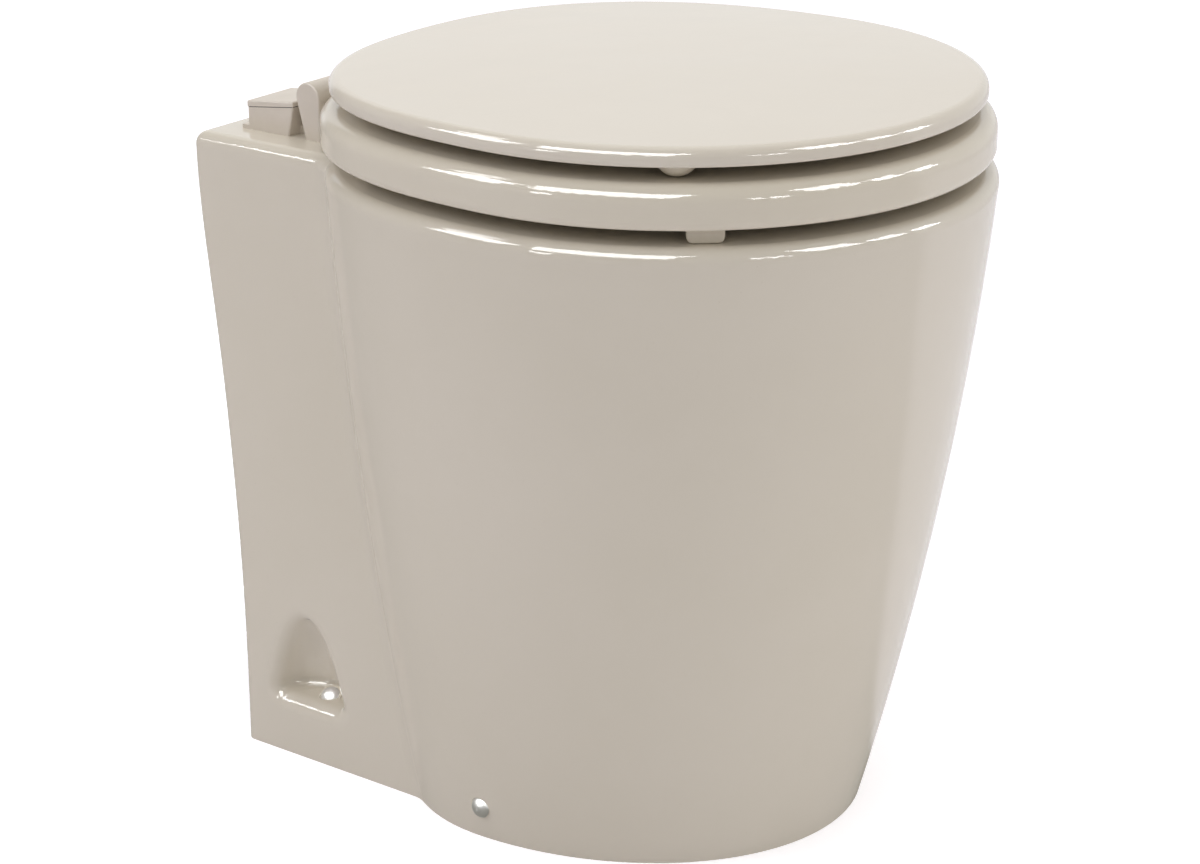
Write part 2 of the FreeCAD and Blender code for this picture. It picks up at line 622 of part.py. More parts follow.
def fixing_pieces():
    """The floor brackets, their nuts and the dome-headed fixing screws."""
    nodes = {}
    face = bracket_face()
    y0, y1 = FRONT_SCREW_Y - BRACKET_WIDTH / 2, FRONT_SCREW_Y + BRACKET_WIDTH / 2
    front_screws, rear_screws, nuts = [], [], []
    for name, side in SIDES:
        upright = block((side * (face - BRACKET_THICKNESS), y0, 0), (side * face, y1, BRACKET_HEIGHT))
        flange = block((side * (face - BRACKET_FLANGE), y0, 0), (side * face, y1, BRACKET_THICKNESS))
        bracket = joined([upright, flange])
        bracket = bracket.cut(rod(FLOOR_HOLE_RADIUS, BRACKET_HEIGHT,
                                  (side * (face - FLOOR_HOLE_INSET), FRONT_SCREW_Y, -CUT_OVERRUN)))
        screw_hole = rod(SCREW_RADIUS + SCREW_HOLE_CLEARANCE, BRACKET_FLANGE,
                         (side * (face + CUT_OVERRUN), FRONT_SCREW_Y, FRONT_SCREW_HEIGHT), X_AXIS * -side)
        nodes["floor_bracket_" + name] = bracket.cut(screw_hole)
        head_at = (side * front_screw_face(), FRONT_SCREW_Y, FRONT_SCREW_HEIGHT)
        front_screws.append(domed_screw(head_at, (side, 0, 0), FRONT_SCREW_LENGTH))
        ledge_at = (side * REAR_SCREW_X, REAR_SCREW_Y, NICHE_LEDGE)
        rear_screws.append(domed_screw(ledge_at, rear_screw_axis(side), REAR_SCREW_LENGTH))
        nut_at = (side * (face - BRACKET_THICKNESS), FRONT_SCREW_Y, FRONT_SCREW_HEIGHT)
        nut = hexagon(NUT_RADIUS, NUT_HEIGHT, nut_at, X_AXIS * -side)
        nuts.append(nut.cut(rod(SCREW_RADIUS, 3 * NUT_HEIGHT, nut_at, X_AXIS * -side)))
    nodes["front_fixing_screws"] = Part.makeCompound(front_screws)
    nodes["rear_fixing_screws"] = Part.makeCompound(rear_screws)
    nodes["bracket_nuts"] = Part.makeCompound(nuts)
    return nodes


def seat_ring():
    """The seat: an egg ring with rounded edges, cut straight at the rear for the hinge."""
    outline = oval_wire(SEAT_HALF_WIDTH, SEAT_FRONT_REACH, SEAT_REAR_REACH, SEAT_REAR_POWER,
                        RIM_CENTRE_Y, SEAT_BOTTOM)
    slab = Part.Face(outline).extrude(Vector(0, 0, SEAT_THICKNESS))
    behind = block((-DEPTH, SEAT_REAR_CUT, SEAT_BOTTOM - CUT_OVERRUN), (DEPTH, DEPTH, SEAT_TOP + CUT_OVERRUN))
    slab = slab.cut(behind)
    upright = [e for e in slab.Edges if e.BoundBox.ZLength > SEAT_THICKNESS / 2
               and abs(e.CenterOfMass.y - SEAT_REAR_CUT) < SAME_PLACE]
    slab = slab.makeFillet(SEAT_REAR_CORNER, upright)
    hole = oval_wire(SEAT_HOLE_HALF_WIDTH, SEAT_HOLE_HALF_LENGTH, SEAT_HOLE_HALF_LENGTH, 2.0,
                     SEAT_HOLE_Y, SEAT_BOTTOM)
    ring = slab.cut(Part.Face(hole).extrude(Vector(0, 0, SEAT_THICKNESS)))
    upper = [e for e in ring.Edges if e.BoundBox.ZMin > SEAT_TOP - SAME_PLACE]
    ring = ring.makeFillet(SEAT_TOP_RADIUS, upper)
    lower = [e for e in ring.Edges if e.BoundBox.ZMax < SEAT_BOTTOM + SAME_PLACE]
    return ring.makeFillet(SEAT_BOTTOM_RADIUS, lower)


def lid():
    """The lid: a slightly crowned slab with a rounded top edge."""
    outline = oval_wire(SEAT_HALF_WIDTH - LID_INSET, SEAT_FRONT_REACH - LID_INSET,
                        SEAT_REAR_REACH - LID_INSET, SEAT_REAR_POWER, RIM_CENTRE_Y, LID_BOTTOM)
    slab = Part.Face(outline).extrude(Vector(0, 0, LID_TOP - LID_BOTTOM + LID_CROWN))
    crown_radius = (SEAT_HALF_WIDTH ** 2 + LID_CROWN ** 2) / (2 * LID_CROWN)
    slab = slab.common(Part.makeSphere(crown_radius, Vector(0, RIM_CENTRE_Y, LID_TOP - crown_radius)))
    rim = [e for e in slab.Edges if e.BoundBox.ZMin > LID_BOTTOM + LID_EDGE_HEIGHT / 2
           and e.BoundBox.ZLength < LID_EDGE_HEIGHT / 2]
    slab = slab.makeFillet(LID_EDGE_RADIUS, rim)
    lower = [e for e in slab.Edges if e.BoundBox.ZMax < LID_BOTTOM + SAME_PLACE]
    return slab.makeFillet(LID_UNDER_RADIUS, lower)


def seat_bumper(x, y, turn):
    """A moulded pad under the seat with rounded lower corners, turned to follow the rim."""
    low = CHINA_HEIGHT + BUMPER_CLEARANCE
    half_length, half_width = SEAT_BUMPER_LENGTH / 2, SEAT_BUMPER_WIDTH / 2
    pad = block((x - half_length, y - half_width, low), (x + half_length, y + half_width, SEAT_BOTTOM))
    below = SEAT_BOTTOM - SAME_PLACE
    ends = [e for e in pad.Edges if e.BoundBox.ZMax < below and e.BoundBox.XLength < SAME_PLACE]
    pad = pad.makeFillet(SEAT_BUMPER_CORNER, ends)
    edges = [e for e in pad.Edges if e.BoundBox.ZMax < below and e.BoundBox.YLength < SAME_PLACE]
    return turned(pad.makeFillet(SEAT_BUMPER_EDGE, edges), turn, (x, y, 0))


def lid_bumper(x, y):
    """A shallow domed button under the lid."""
    height = LID_GAP - BUMPER_CLEARANCE
    ball_radius = (LID_BUMPER_RADIUS ** 2 + height ** 2) / (2 * height)
    ball = Part.makeSphere(ball_radius, Vector(x, y, LID_BOTTOM - height + ball_radius))
    return ball.common(rod(LID_BUMPER_RADIUS * 2, height, (x, y, LID_BOTTOM - height)))


def hull_of_circles(y0, z0, r0, y1, z1, r1, x):
    """A flat teardrop in the plane X = x: two circles and their outer tangents."""
    span = math.hypot(y1 - y0, z1 - z0)
    heading = math.atan2(z1 - z0, y1 - y0)
    spread = math.acos((r0 - r1) / span)

    def at(y, z, r, angle):
        return Vector(x, y + r * math.cos(angle), z + r * math.sin(angle))

    a0, a1 = at(y0, z0, r0, heading + spread), at(y1, z1, r1, heading + spread)
    b0, b1 = at(y0, z0, r0, heading - spread), at(y1, z1, r1, heading - spread)
    edges = [
        Part.makeLine(a0, a1),
        Part.Arc(a1, at(y1, z1, r1, heading), b1).toShape(),
        Part.makeLine(b1, b0),
        Part.Arc(b0, at(y0, z0, r0, heading + math.pi), a0).toShape(),
    ]
    return Part.Face(Part.Wire(edges))


def yz_prism(points, x0, x1):
    """A prism along X with an outline given as (y, z) points."""
    outline = [Vector(x0, y, z) for y, z in points + points[:1]]
    return Part.Face(Part.makePolygon(outline)).extrude(Vector(x1 - x0, 0, 0))


def hinge_base():
    """The right hinge block, its rear foot plate and its teardrop post, joined by a low link."""
    deck = CHINA_HEIGHT
    plate = block((HINGE_INNER_X, HINGE_BLOCK_REAR - HINGE_PLATE_MARGIN, deck),
                  (HINGE_OUTER_X, HINGE_BLOCK_REAR + HINGE_PLATE_MARGIN, deck + HINGE_PLATE))
    link = block((HINGE_INNER_X, POST_FOOT_Y, deck),
                 (HINGE_OUTER_X - HINGE_LINK_INSET,
                  HINGE_BLOCK_FRONT + HINGE_BLOCK_LEAN + HINGE_EDGE_RADIUS, deck + HINGE_LINK_HEIGHT))
    housing = yz_prism([(HINGE_BLOCK_FRONT + HINGE_BLOCK_LEAN, deck), (HINGE_BLOCK_REAR, deck),
                        (HINGE_BLOCK_REAR, deck + HINGE_SPLIT_REAR),
                        (HINGE_BLOCK_FRONT, deck + HINGE_SPLIT_FRONT)], HINGE_INNER_X, HINGE_OUTER_X)
    upright = [e for e in housing.Edges if e.BoundBox.ZLength > HINGE_SPLIT_REAR / 2]
    housing = housing.makeFillet(HINGE_EDGE_RADIUS, upright)
    post = hull_of_circles(POST_FOOT_Y, deck, POST_FOOT_WIDTH / 2,
                           HINGE_AXIS_Y, HINGE_AXIS_Z, POST_TOP_RADIUS, HINGE_INNER_X)
    post = post.extrude(Vector(HINGE_OUTER_X - HINGE_INNER_X, 0, 0))
    outer_rim = [e for e in post.Edges if e.BoundBox.XMin > HINGE_OUTER_X - SAME_PLACE]
    post = post.makeFillet(HINGE_EDGE_RADIUS, outer_rim)
    post = post.cut(block((0, 0, deck - POST_FOOT_WIDTH), (RIM_HALF_WIDTH, DEPTH, deck)))
    base = joined([plate, link, housing, post])
    base = base.cut(rod(ROD_RADIUS, HINGE_OUTER_X - HINGE_INNER_X - ROD_END_INSET,
                        (HINGE_INNER_X, HINGE_AXIS_Y, HINGE_AXIS_Z), X_AXIS))
    bolt_hole = rod(BOLT_RADIUS + BOLT_CLEARANCE, HINGE_SPLIT_FRONT, (BOLT_X, BOLT_Y, deck - CUT_OVERRUN))
    base = base.cut(bolt_hole)
    return base.cut(rod(BOLT_POCKET_RADIUS, HINGE_SPLIT_FRONT, (BOLT_X, BOLT_Y, deck + BOLT_SEAT_RISE)))


def hinge_cap():
    """The right snap-on cap that covers the hinge bolt, with soft edges and a fine seam."""
    deck = CHINA_HEIGHT
    front, rear = deck + HINGE_SPLIT_FRONT, deck + HINGE_SPLIT_REAR
    cap = yz_prism([(HINGE_BLOCK_FRONT, front), (HINGE_BLOCK_REAR, rear),
                    (HINGE_BLOCK_REAR, rear + HINGE_CAP_REAR),
                    (HINGE_BLOCK_FRONT, front + HINGE_CAP_FRONT)], HINGE_INNER_X, HINGE_OUTER_X)
    underside = min(cap.Faces, key=lambda f: f.normalAt(0, 0).z)
    cap = cap.makeChamfer(HINGE_SEAM_CHAMFER, underside.Edges)
    top = max(cap.Faces, key=lambda f: f.normalAt(0, 0).z)
    return cap.makeFillet(HINGE_EDGE_RADIUS, top.Edges)


def hinge_leaf(plate_bottom, x0, plate_rear):
    """A right-hand hinge leaf: a flat plate, a web behind it and the barrel on the rod."""
    x1 = x0 + LEAF_WIDTH
    plate_top = plate_bottom + LEAF_THICKNESS
    plate = block((x0, plate_rear - LEAF_LENGTH, plate_bottom), (x1, HINGE_AXIS_Y, plate_top))
    web_low = min(plate_bottom, HINGE_AXIS_Z)
    web_high = max(plate_top, HINGE_AXIS_Z)
    web = block((x0, HINGE_AXIS_Y - LEAF_BARREL_RADIUS, web_low), (x1, HINGE_AXIS_Y, web_high))
    barrel = rod(LEAF_BARREL_RADIUS, LEAF_WIDTH, (x0, HINGE_AXIS_Y, HINGE_AXIS_Z), X_AXIS)
    leaf = joined([plate, web, barrel])
    return leaf.cut(rod(ROD_RADIUS + ROD_FIT, 3 * LEAF_WIDTH,
                        (x0 - LEAF_WIDTH, HINGE_AXIS_Y, HINGE_AXIS_Z), X_AXIS))


def leaf_screw_places(x0, plate_rear):
    """Two screws along the middle of a leaf's plate."""
    x = x0 + LEAF_WIDTH / 2
    return [(x, plate_rear - inset) for inset in LEAF_SCREW_INSETS]


def hinge_pieces():
    """Hinge blocks, caps, the rod, the leaves of seat and lid, and their screws and bolts."""
    nodes = {}
    seat_x = HINGE_INNER_X - LEAF_GAP - LEAF_WIDTH
    lid_x = seat_x - LEAF_GAP - LEAF_WIDTH
    seat_plate = SEAT_BOTTOM - LEAF_THICKNESS
    lid_plate = LID_BOTTOM - LEAF_THICKNESS
    right = {"hinge_base": hinge_base(), "hinge_cap": hinge_cap(),
             "seat_leaf": hinge_leaf(seat_plate, seat_x, SEAT_REAR_CUT),
             "lid_leaf": hinge_leaf(lid_plate, lid_x, SEAT_REAR_CUT)}
    deck = CHINA_HEIGHT
    head = deck + BOLT_SEAT_RISE
    bolt = joined([hexagon(BOLT_HEAD_RADIUS, BOLT_HEAD_HEIGHT, (BOLT_X, BOLT_Y, head)),
                   rod(BOLT_RADIUS, head - DECK_UNDERSIDE + BOLT_WASHER_HEIGHT + BOLT_NUT_HEIGHT + BOLT_TAIL,
                       (BOLT_X, BOLT_Y, head), Z_AXIS * -1)])
    washer = tube(BOLT_WASHER_RADIUS, BOLT_RADIUS, BOLT_WASHER_HEIGHT,
                  (BOLT_X, BOLT_Y, DECK_UNDERSIDE), Z_AXIS * -1)
    nut_at = (BOLT_X, BOLT_Y, DECK_UNDERSIDE - BOLT_WASHER_HEIGHT)
    nut = hexagon(BOLT_HEAD_RADIUS, BOLT_NUT_HEIGHT, nut_at, Z_AXIS * -1)
    nut = nut.cut(rod(BOLT_RADIUS, BOLT_NUT_HEIGHT, nut_at, Z_AXIS * -1))
    seat_screws, lid_screws = [], []
    for x, y in leaf_screw_places(seat_x, SEAT_REAR_CUT):
        hole = rod(LEAF_SCREW_RADIUS, LEAF_THICKNESS, (x, y, seat_plate))
        right["seat_leaf"] = right["seat_leaf"].cut(hole)
        seat_screws.append(joined([rod(LEAF_SCREW_HEAD, LEAF_SCREW_HEAD_HEIGHT,
                                       (x, y, seat_plate - LEAF_SCREW_HEAD_HEIGHT)),
                                   rod(LEAF_SCREW_RADIUS, LEAF_SCREW_LENGTH, (x, y, seat_plate))]))
    for x, y in leaf_screw_places(lid_x, SEAT_REAR_CUT):
        hole = rod(LEAF_SCREW_RADIUS, LEAF_THICKNESS, (x, y, lid_plate))
        right["lid_leaf"] = right["lid_leaf"].cut(hole)
        lid_screws.append(joined([rod(LEAF_SCREW_HEAD, LEAF_SCREW_HEAD_HEIGHT,
                                      (x, y, lid_plate - LEAF_SCREW_HEAD_HEIGHT)),
                                  rod(LEAF_SCREW_RADIUS, LEAF_SCREW_LENGTH, (x, y, lid_plate))]))
    for name, shape in right.items():
        nodes[name + "_right"] = shape
        nodes[name + "_left"] = mirrored(shape)
    groups = {"hinge_bolts": [bolt], "hinge_washers": [washer], "hinge_nuts": [nut],
              "seat_leaf_screws": seat_screws, "lid_leaf_screws": lid_screws}
    for name, shapes in groups.items():
        nodes[name] = Part.makeCompound(shapes + [mirrored(s) for s in shapes])
    reach = HINGE_OUTER_X - ROD_END_INSET
    nodes["hinge_rod"] = rod(ROD_RADIUS, 2 * reach, (-reach, HINGE_AXIS_Y, HINGE_AXIS_Z), X_AXIS)
    holes = [s.copy() for s in seat_screws]
    holes += [mirrored(s) for s in holes]
    lid_holes = [s.copy() for s in lid_screws]
    lid_holes += [mirrored(s) for s in lid_holes]
    return nodes, holes, lid_holes


def seat_pieces():
    """Seat, lid, their bumpers and the hinge."""
    nodes, seat_holes, lid_holes = hinge_pieces()
    ring, cover = seat_ring(), lid()
    for screw in seat_holes:
        ring = ring.cut(screw)
    for screw in lid_holes:
        cover = cover.cut(screw)
    nodes["seat_ring"] = ring
    nodes["lid"] = cover
    pads = [seat_bumper(*SEAT_BUMPER_FRONT), seat_bumper(*SEAT_BUMPER_REAR)]
    nodes["seat_bumpers"] = Part.makeCompound(pads + [mirrored(pad) for pad in pads])
    buttons = [lid_bumper(*LID_BUMPER_FRONT), lid_bumper(*LID_BUMPER_REAR)]
    nodes["lid_bumpers"] = Part.makeCompound(buttons + [mirrored(button) for button in buttons])
    return nodes


def pump_housing():
    """The pump's fixed shells: base plate, feet, chopper chamber, cutter plate, volute and motor flange."""
    nodes = {}
    half_x, half_y = PUMP_BASE_HALF_WIDTH, PUMP_BASE_HALF_DEPTH
    nodes["pump_base_plate"] = block((-half_x, PUMP_Y - half_y, 0),
                                     (half_x, PUMP_Y + half_y, PUMP_BASE_THICKNESS))
    feet = []
    for k in range(PUMP_FEET):
        foot = rod(PUMP_FOOT_RADIUS, PUMP_FOOT_HEIGHT, (0, PUMP_Y + PUMP_FOOT_CIRCLE, PUMP_BASE_THICKNESS))
        feet.append(turned(foot, 360 * k / PUMP_FEET, (0, PUMP_Y, 0)))
    nodes["pump_feet"] = Part.makeCompound(feet)
    inlet_start = OUTLET_END_Y + INLET_GAP
    chamber = rod(PUMP_RADIUS, CHOPPER_HEIGHT, (0, PUMP_Y, CHOPPER_BOTTOM))
    inlet = rod(OUTLET_OUTER, PUMP_Y - inlet_start, (0, inlet_start, OUTLET_HEIGHT), Y_AXIS)
    hollow = rod(PUMP_RADIUS - PUMP_WALL, CHOPPER_HEIGHT, (0, PUMP_Y, CHOPPER_BOTTOM + PUMP_WALL))
    throat = rod(OUTLET_RADIUS, PUMP_Y - inlet_start, (0, inlet_start, OUTLET_HEIGHT), Y_AXIS)
    housing = joined([chamber, inlet]).cut(hollow).cut(throat)
    cutter = rod(PUMP_RADIUS, CUTTER_THICKNESS, (0, PUMP_Y, CHOPPER_TOP))
    cutter = cutter.cut(rod(CUTTER_EYE_RADIUS, CUTTER_THICKNESS, (0, PUMP_Y, CHOPPER_TOP)))
    slot_start = CUTTER_EYE_RADIUS - CUT_OVERRUN
    slot = block((slot_start, PUMP_Y - VANE_THICKNESS, CHOPPER_TOP),
                 (slot_start + CUTTER_SLOT_LENGTH, PUMP_Y + VANE_THICKNESS, VOLUTE_BOTTOM))
    for k in range(CUTTER_SLOTS):
        cutter = cutter.cut(turned(slot, 360 * k / CUTTER_SLOTS, (0, PUMP_Y, 0)))
    mid = (VOLUTE_BOTTOM + VOLUTE_TOP) / 2
    flange_front = DISCHARGE_FLANGE_Y - DISCHARGE_FLANGE_THICKNESS
    spout_at = (DISCHARGE_X, PUMP_Y, mid)
    spout = joined([rod(DISCHARGE_BORE + DISCHARGE_WALL, DISCHARGE_REACH, spout_at, Y_AXIS),
                    rod(DISCHARGE_FLANGE_RADIUS, DISCHARGE_FLANGE_THICKNESS,
                        (DISCHARGE_X, flange_front, mid), Y_AXIS)])
    volute = joined([rod(PUMP_RADIUS, VOLUTE_HEIGHT, (0, PUMP_Y, VOLUTE_BOTTOM)), spout])
    volute = volute.cut(rod(PUMP_RADIUS - PUMP_WALL, VOLUTE_HEIGHT, (0, PUMP_Y, VOLUTE_BOTTOM)))
    volute = volute.cut(rod(DISCHARGE_BORE, DISCHARGE_REACH, spout_at, Y_AXIS))
    flange = rod(PUMP_RADIUS, FLANGE_THICKNESS, (0, PUMP_Y, VOLUTE_TOP))
    flange = flange.cut(rod(SHAFT_RADIUS + SHAFT_FIT, FLANGE_THICKNESS, (0, PUMP_Y, VOLUTE_TOP)))
    shells = {"chopper_housing": housing, "cutter_plate": cutter,
              "volute_housing": volute, "motor_flange": flange}
    screws = []
    circle = PUMP_RADIUS - PUMP_WALL / 2
    length = FLANGE_TOP - CHOPPER_TOP + HOUSING_SCREW_GRIP
    for k in range(HOUSING_SCREWS):
        angle = 45 + 360 * k / HOUSING_SCREWS
        shank = rod(HOUSING_SCREW_RADIUS, length, (circle, PUMP_Y, FLANGE_TOP - length))
        shank = turned(shank, angle, (0, PUMP_Y, 0))
        head = rod(HOUSING_SCREW_HEAD, HOUSING_SCREW_HEAD_HEIGHT, (circle, PUMP_Y, FLANGE_TOP))
        screws.append(joined([shank, turned(head, angle, (0, PUMP_Y, 0))]))
        for name in shells:
            shells[name] = shells[name].cut(shank)
    nodes.update(shells)
    nodes["housing_screws"] = Part.makeCompound(screws)
    nodes["shaft_seal"] = tube(HUB_RADIUS, SHAFT_RADIUS + SHAFT_FIT, PUMP_WALL / 2,
                               (0, PUMP_Y, VOLUTE_TOP), Z_AXIS * -1)
    return nodes


def motor_pieces():
    """The motor's fixed pieces above the flange."""
    nodes = {}
    inner = MOTOR_RADIUS - MOTOR_WALL
    nodes["motor_can"] = tube(MOTOR_RADIUS, inner, MOTOR_HEIGHT, (0, PUMP_Y, FLANGE_TOP))
    bearing = tube(BEARING_RADIUS, SHAFT_RADIUS + SHAFT_FIT, BEARING_HEIGHT, (0, PUMP_Y, FLANGE_TOP))
    upper = bearing.copy()
    upper.translate(Vector(0, 0, MOTOR_HEIGHT))
    nodes["motor_bearings"] = Part.makeCompound([bearing, upper])
    cap = rod(MOTOR_RADIUS, END_CAP_HEIGHT, (0, PUMP_Y, MOTOR_TOP))
    cap = cap.cut(rod(BEARING_RADIUS, BEARING_HEIGHT, (0, PUMP_Y, MOTOR_TOP)))
    top_edges = [e for e in cap.Edges if e.BoundBox.ZMin > END_CAP_TOP - SAME_PLACE]
    cap = cap.makeFillet(END_CAP_WALL, top_edges)
    nodes["motor_end_cap"] = cap.cut(rod(GLAND_BORE, END_CAP_HEIGHT, (GLAND_X, PUMP_Y, MOTOR_TOP)))
    gland = joined([hexagon(GLAND_RADIUS, GLAND_HEX_HEIGHT, (GLAND_X, PUMP_Y, END_CAP_TOP)),
                    Part.makeCone(GLAND_NECK_RADIUS, GLAND_TIP_RADIUS, GLAND_NECK_HEIGHT,
                                  Vector(GLAND_X, PUMP_Y, END_CAP_TOP + GLAND_HEX_HEIGHT))])
    gland_bore = rod(GLAND_BORE, GLAND_HEX_HEIGHT + GLAND_NECK_HEIGHT, (GLAND_X, PUMP_Y, END_CAP_TOP))
    nodes["motor_cable_gland"] = gland.cut(gland_bore)
    armature_bottom = FLANGE_TOP + 2 * BEARING_HEIGHT
    ring = tube(inner, inner - MAGNET_THICKNESS, ARMATURE_HEIGHT, (0, PUMP_Y, armature_bottom))
    wedge = Part.makeCylinder(MOTOR_RADIUS, ARMATURE_HEIGHT, Vector(0, PUMP_Y, armature_bottom),
                              Z_AXIS, MAGNET_ANGLE)
    magnet = turned(ring.common(wedge), -MAGNET_ANGLE / 2, (0, PUMP_Y, 0))
    nodes["motor_magnets"] = Part.makeCompound([magnet, turned(magnet, 180, (0, PUMP_Y, 0))])
    brush_z = armature_bottom + ARMATURE_HEIGHT + COMMUTATOR_HEIGHT / 2
    start = COMMUTATOR_RADIUS + BRUSH_GAP
    brush = block((start, PUMP_Y - BRUSH_SIZE / 2, brush_z - BRUSH_SIZE / 2),
                  (inner - BRUSH_CAN_GAP, PUMP_Y + BRUSH_SIZE / 2, brush_z + BRUSH_SIZE / 2))
    nodes["motor_brushes"] = Part.makeCompound([brush, turned(brush, 180, (0, PUMP_Y, 0))])
    return nodes


def rotor_pieces():
    """Everything that turns with the motor shaft."""
    nodes = {}
    inner = MOTOR_RADIUS - MOTOR_WALL
    armature_bottom = FLANGE_TOP + 2 * BEARING_HEIGHT
    armature_top = armature_bottom + ARMATURE_HEIGHT
    blade_top = CHOPPER_TOP - BLADE_GAP
    blade_bottom = blade_top - BLADE_THICKNESS
    nut_bottom = blade_bottom - NUT_HEIGHT
    shaft_top = MOTOR_TOP + BEARING_HEIGHT - BLADE_GAP
    nodes["motor_shaft"] = rod(SHAFT_RADIUS, shaft_top - nut_bottom, (0, PUMP_Y, nut_bottom))
    bore = rod(SHAFT_RADIUS, shaft_top - nut_bottom, (0, PUMP_Y, nut_bottom))
    core_radius = inner - MAGNET_THICKNESS - ARMATURE_GAP
    core = rod(core_radius, ARMATURE_HEIGHT, (0, PUMP_Y, armature_bottom))
    slot = rod(VANE_THICKNESS, ARMATURE_HEIGHT, (core_radius, PUMP_Y, armature_bottom))
    for k in range(ARMATURE_SLOTS):
        core = core.cut(turned(slot, 360 * k / ARMATURE_SLOTS, (0, PUMP_Y, 0)))
    nodes["armature"] = core.cut(bore)
    nodes["commutator"] = rod(COMMUTATOR_RADIUS, COMMUTATOR_HEIGHT, (0, PUMP_Y, armature_top)).cut(bore)
    blade = joined([block((-BLADE_LENGTH, PUMP_Y - BLADE_WIDTH / 2, blade_bottom),
                          (BLADE_LENGTH, PUMP_Y + BLADE_WIDTH / 2, blade_top)),
                    rod(HUB_RADIUS, BLADE_THICKNESS, (0, PUMP_Y, blade_bottom))])
    nodes["chopper_blade"] = blade.cut(bore)
    nodes["blade_nut"] = hexagon(NUT_RADIUS, NUT_HEIGHT, (0, PUMP_Y, nut_bottom)).cut(bore)
    disc_top = (VOLUTE_BOTTOM + VOLUTE_TOP + IMPELLER_HEIGHT) / 2
    vane_bottom = disc_top - IMPELLER_HEIGHT
    solids = [rod(IMPELLER_RADIUS, IMPELLER_DISC, (0, PUMP_Y, disc_top - IMPELLER_DISC)),
              rod(HUB_RADIUS, IMPELLER_HEIGHT, (0, PUMP_Y, vane_bottom))]
    vane = block((0, PUMP_Y - VANE_THICKNESS / 2, vane_bottom),
                 (IMPELLER_RADIUS, PUMP_Y + VANE_THICKNESS / 2, disc_top))
    solids += [turned(vane, 360 * k / IMPELLER_VANES, (0, PUMP_Y, 0)) for k in range(IMPELLER_VANES)]
    nodes["impeller"] = joined(solids).cut(bore)
    return nodes


def waste_pieces():
    """The rubber sleeve from bowl to pump, its clamps, the joker valve and the discharge tail."""
    nodes = {}
    inner = OUTLET_OUTER + SLEEVE_FIT
    outer = inner + SLEEVE_WALL
    middle = OUTLET_END_Y + INLET_GAP / 2
    start = middle - SLEEVE_OVERLAP
    nodes["outlet_sleeve"] = tube(outer, inner, 2 * SLEEVE_OVERLAP, (0, start, OUTLET_HEIGHT), Y_AXIS)
    clamps = []
    for centre in (middle - SLEEVE_OVERLAP / 2, middle + SLEEVE_OVERLAP / 2):
        y = centre - CLAMP_WIDTH / 2
        band = rod(outer + CLAMP_THICKNESS, CLAMP_WIDTH, (0, y, OUTLET_HEIGHT), Y_AXIS)
        worm = rod(CLAMP_SCREW_RADIUS, 3 * CLAMP_SCREW_RADIUS,
                   (-1.5 * CLAMP_SCREW_RADIUS, centre, OUTLET_HEIGHT + outer + CLAMP_SCREW_RADIUS), X_AXIS)
        band = joined([band, worm])
        clamps.append(band.cut(rod(outer, CLAMP_WIDTH, (0, y, OUTLET_HEIGHT), Y_AXIS)))
    nodes["sleeve_clamps"] = Part.makeCompound(clamps)
    z = (VOLUTE_BOTTOM + VOLUTE_TOP) / 2
    joker = rod(DISCHARGE_FLANGE_RADIUS, JOKER_THICKNESS, (DISCHARGE_X, DISCHARGE_FLANGE_Y, z), Y_AXIS)
    lips = Part.makeCone(DISCHARGE_BORE, VANE_THICKNESS, JOKER_LIP_LENGTH,
                         Vector(DISCHARGE_X, DISCHARGE_FLANGE_Y + JOKER_THICKNESS, z), Y_AXIS)
    throat = Part.makeCone(DISCHARGE_BORE - JOKER_LIP_WALL, JOKER_MOUTH_RADIUS,
                           JOKER_THICKNESS + JOKER_LIP_LENGTH,
                           Vector(DISCHARGE_X, DISCHARGE_FLANGE_Y, z), Y_AXIS)
    nodes["joker_valve"] = joined([joker, lips]).cut(throat)
    tail_y = DISCHARGE_FLANGE_Y + JOKER_THICKNESS
    pipe_y = tail_y + DISCHARGE_FLANGE_THICKNESS
    tail_flange = rod(DISCHARGE_FLANGE_RADIUS, DISCHARGE_FLANGE_THICKNESS, (DISCHARGE_X, tail_y, z), Y_AXIS)
    tail = joined([tail_flange, rod(TAIL_RADIUS, TAIL_LENGTH, (DISCHARGE_X, pipe_y, z), Y_AXIS)])
    nodes["discharge_tail"] = tail.cut(rod(TAIL_BORE, DEPTH, (DISCHARGE_X, tail_y, z), Y_AXIS))
    collar_y = PUMP_Y + PUMP_RADIUS + COLLAR_SETBACK
    collar_length = pipe_y - collar_y
    collar_inner = DISCHARGE_FLANGE_RADIUS + COLLAR_FIT
    nodes["discharge_collar"] = tube(collar_inner + COLLAR_WALL, collar_inner, collar_length,
                                     (DISCHARGE_X, collar_y, z), Y_AXIS)
    return nodes


